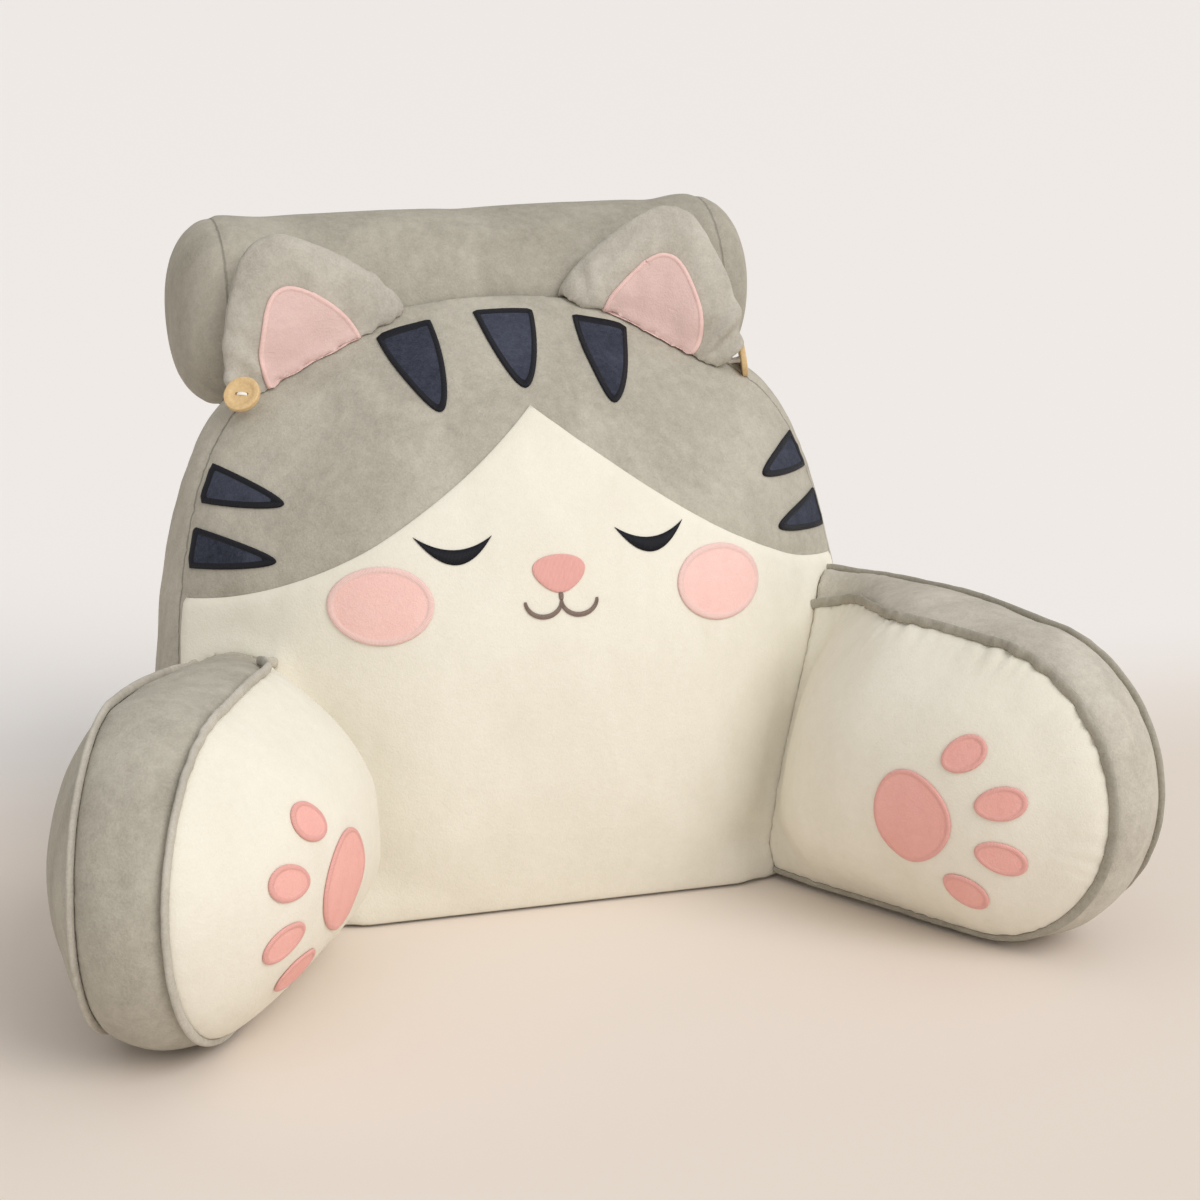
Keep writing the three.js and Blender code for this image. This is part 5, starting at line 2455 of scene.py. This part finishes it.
@dataclass
class FaceStitching:
    """The eyes, nose, mouth and cheeks on the face panel."""

    eye: tuple[float, ...] = (74.0, 286.0, 28.0, 19.0, 10.0)
    nose: tuple[float, ...] = (0.0, 258.0, 19.0, 13.0, 0.0, 0.3)
    cheek: tuple[float, ...] = (128.0, 240.0, 36.0, 27.0, 6.0, 0.0)
    mouth_half: float = 27.0
    mouth_start: float = 246.0
    mouth_top: float = 240.0
    mouth_drop: float = 11.0
    thread_width: float = 3.4
    thread_taper: float = 0.5
    level_way: Pair = (1.0, 0.0)
    drop_way: Pair = (0.35, 0.94)
    cheek_high: float = 1.6
    arc_corners: int = 30

    def mouth_paths(self) -> dict[str, Array]:
        """Paths of the mouth's three stitched lines.

        Returns:
            Points of the face's plane by the line's name.
        """
        turn = np.linspace(0.0, math.pi, self.arc_corners)
        middle = self.mouth_half / 2.0
        paths = {"mouth_drop": np.array([(0.0, self.mouth_start), (0.0, self.mouth_top)])}
        for side in Side:
            height = self.mouth_top - self.mouth_drop * np.sin(turn)
            arc = np.column_stack([middle * (1.0 - np.cos(turn)), height])
            paths[f"mouth_{side.word}"] = arc * (side.value, 1.0)
        return paths

    def build(self, back: BackCushion, panel: Piece) -> None:
        """Sews the face onto its panel.

        Args:
            back: The back under the panel.
            panel: The face panel.
        """
        level = {"stitch_way": self.level_way, "over": panel}
        for side in Side:
            u, *shape = self.eye
            eye = crescent_outline(side.value * u, *shape)
            Stitching(f"eye_{side.word}", "navy_plush", eye, back, NAVY_THREAD, **level).build()
            u, v, wide, tall, tilt, taper = self.cheek
            cheek = egg_outline(side.value * u, v, wide, tall, -side.value * tilt, taper)
            node, trim = f"cheek_{side.word}", {"high": self.cheek_high, "over": panel}
            Patch(node, "pink_plush", cheek, back, BLUSH_PLUSH, PALE_PINK_THREAD, **trim).build()
        Stitching("nose", "pink_plush", egg_outline(*self.nose), back, ROSE_THREAD, **level).build()
        line = {"ending": "", "stands_for_node": False, "over": panel}
        for label, path in self.mouth_paths().items():
            way = self.drop_way if label == "mouth_drop" else None
            band = band_outline(path, self.thread_width, self.thread_taper)
            Stitching(label, "navy_plush", band, back, TAUPE_THREAD, stitch_way=way, **line).build()


@dataclass
class CapStripes:
    """The dark stripes on the grey cap and gusset."""

    rows: tuple[tuple[str | float, ...], ...] = (
        ("brow_stripe_left", -76, 412, 21, 46, 12, 0.35),
        ("brow_stripe_middle", 0, 426, 23, 46, 0, 0.35),
        ("brow_stripe_right", 76, 412, 21, 46, -12, 0.35),
        ("side_stripe_left_upper", -236, 318, 15, 52, 78, 0.4),
        ("side_stripe_left_lower", -250, 272, 15, 56, 86, 0.4),
        ("side_stripe_right_upper", 236, 318, 15, 52, -78, 0.4),
        ("side_stripe_right_lower", 250, 272, 15, 56, -86, 0.4),
    )
    reach: float = 0.985
    corners: int = 150

    def build(self, back: BackCushion) -> None:
        """Sews the stripes on, each cut off along the front seam.

        Args:
            back: The back that they are sewn to.
        """
        limit = back.edge.scaled(self.reach)
        for node, *shape in self.rows:
            outline = self.trimmed(egg_outline(*shape), limit)
            Patch(node, "navy_plush", outline, back, NAVY_PLUSH, NAVY_THREAD).build()

    def trimmed(self, outline: Array, limit: Array) -> Array:
        """The part of an outline that lies inside a limit, with its steps evened out.

        Args:
            outline: The outline to cut off.
            limit: The closed line that it may not cross.

        Returns:
            The outline with the limit's own stretch where it was cut.
        """
        kept = inside(limit, outline)
        if kept.all():
            return outline
        first = int(np.flatnonzero(kept & ~np.roll(kept, 1))[0])
        open_part = np.roll(outline, -first, axis=0)[: int(kept.sum())]
        along = [int(np.argmin(np.linalg.norm(limit - end, axis=1))) for end in (open_part[-1], open_part[0])]
        count = len(limit)
        forward = (along[1] - along[0]) % count
        steps = range(1, forward) if forward <= count // 2 else range(-1, forward - count, -1)
        edge = np.array([limit[(along[0] + s) % count] for s in steps]).reshape(-1, 2)
        return resample(closed(np.vstack([open_part, edge])), self.corners)[:-1]


@dataclass
class PawPads:
    """The pads on an arm's inner face."""

    rows: tuple[tuple[str | float, ...], ...] = (
        ("palm", 158, 106, 34, 30, 90, 0.16),
        ("toe_low", 192, 55, 12, 16, -124, 0.1),
        ("toe_lower", 220, 86, 12, 17, -106, 0.1),
        ("toe_upper", 220, 126, 12, 17, -74, 0.1),
        ("toe_high", 192, 157, 12, 16, -56, 0.1),
    )
    border: float = 3.2

    def build(self, arm: ArmCushion, panel: Piece) -> None:
        """Sews the pads on.

        Args:
            arm: The arm under the panel.
            panel: The arm's panel.
        """
        trim = {"border": self.border, "over": panel}
        for name, *shape in self.rows:
            node = f"{name}_{arm.side.word}"
            Patch(node, "rose_plush", egg_outline(*shape), arm, ROSE_PLUSH, ROSE_THREAD, **trim).build()


@dataclass
class Studio:
    """The floor, the lights and the camera."""

    aim: Triple = (31.2, -104.0, 237.9)
    azimuth: float = -17.61
    elevation: float = 14.03
    distance: float = 1870.2
    view_angle: float = 26.53
    floor_half: float = 150.0
    floor_drop: float = 0.0002
    sun_from: Triple = (0.9, -1.5, 1.45)
    sun_power: float = 1.12
    sun_width: float = 36.0
    sun_colour: Triple = (1.0, 0.975, 0.94)
    room_colour: Colour = (1.0, 0.99, 0.975, 1.0)
    bright_side: Triple = (0.38, -0.88, 0.3)
    low_light: float = 0.26
    high_light: float = 0.96

    def build(self) -> None:
        """Sets the stage."""
        self.floor()
        self.lights()
        self.camera()

    def floor(self) -> None:
        """Lays a wide plain floor."""
        bpy.ops.object.select_all(action="DESELECT")
        bpy.ops.mesh.primitive_plane_add(size=2.0 * self.floor_half, location=(0, 0, -self.floor_drop))
        floor = bpy.context.object
        floor.name = "floor"
        floor.data.materials.append(PALE_FLOOR.material())

    def lights(self) -> None:
        """Hangs a wide soft light at the upper right, in a pale room."""
        sun = bpy.data.lights.new("window", "SUN")
        sun.energy = self.sun_power
        sun.angle = math.radians(self.sun_width)
        sun.color = self.sun_colour
        holder = link_object("window", sun)
        holder.rotation_euler = (-Vector(self.sun_from)).to_track_quat("-Z", "Y").to_euler()
        world = bpy.data.worlds.new("pale_room")
        world.use_nodes = True
        work = ShaderTree(world.node_tree)
        way = work.add("TexCoord").outputs["Generated"]
        bright = Vector(self.bright_side).normalized()
        towards = work.add("VectorMath", {0: way, 1: bright}, operation="DOT_PRODUCT").outputs["Value"]
        glow = work.spread(towards, -1.0, 1.0, self.low_light, self.high_light)
        backing = world.node_tree.nodes["Background"]
        work.fill(backing, {"Color": self.room_colour, "Strength": glow})
        bpy.context.scene.world = world
        bpy.context.scene.view_settings.view_transform = "Standard"

    def camera(self) -> None:
        """Stands the camera where the photograph was taken."""
        turn, rise = math.radians(self.azimuth), math.radians(self.elevation)
        back = Vector((math.sin(turn) * math.cos(rise), -math.cos(turn) * math.cos(rise), math.sin(rise)))
        lens = bpy.data.cameras.new("camera")
        lens.angle = math.radians(self.view_angle)
        eye = link_object("camera", lens)
        eye.location = (Vector(self.aim) + back * self.distance) * MM
        eye.rotation_euler = (-back).to_track_quat("-Z", "Y").to_euler()
        bpy.context.scene.camera = eye


def main() -> None:
    """Builds every piece in order."""
    logging.basicConfig(level=logging.INFO, format="%(name)s: %(message)s")
    Studio().build()
    back, roll = BackCushion(), NeckRoll()
    arms = ArmCushion.pair()
    ears = Ear.pair()
    stuffed = [back, roll, *arms, *ears]
    for cushion in stuffed:
        cushion.shape()
    back.stuff([roll], [*arms, *ears])
    roll.stuff([], [back, *ears])
    for arm in arms:
        arm.stuff([back], [])
    for ear in ears:
        ear.stuff([back, roll], [])
    panel = FacePanel().build(back, arms)
    FaceStitching().build(back, panel)
    CapStripes().build(back)
    for arm in arms:
        arm_panel = ArmPanel().build(arm, [back.piece, panel])
        PawPads().build(arm, arm_panel)
        Welt(arm, ArmSeam.INNER).build([arm.piece, arm_panel], [back.piece, panel])
        Welt(arm, ArmSeam.OUTER).build([arm.piece], [back.piece])
    for ear in ears:
        EarLining().build(ear, [back.piece])
    WoodenButton(Side.LEFT, (-0.45, -0.66, 0.6), (-205.5, 27.0, 381.5), 14.0).build(back)
    WoodenButton(Side.RIGHT, (0.95, -0.27, 0.15), (190.0, 47.0, 386.0), 8.5).build(back)
    for cushion in stuffed:
        remove(cushion.form)


if __name__ == "__main__":
    main()
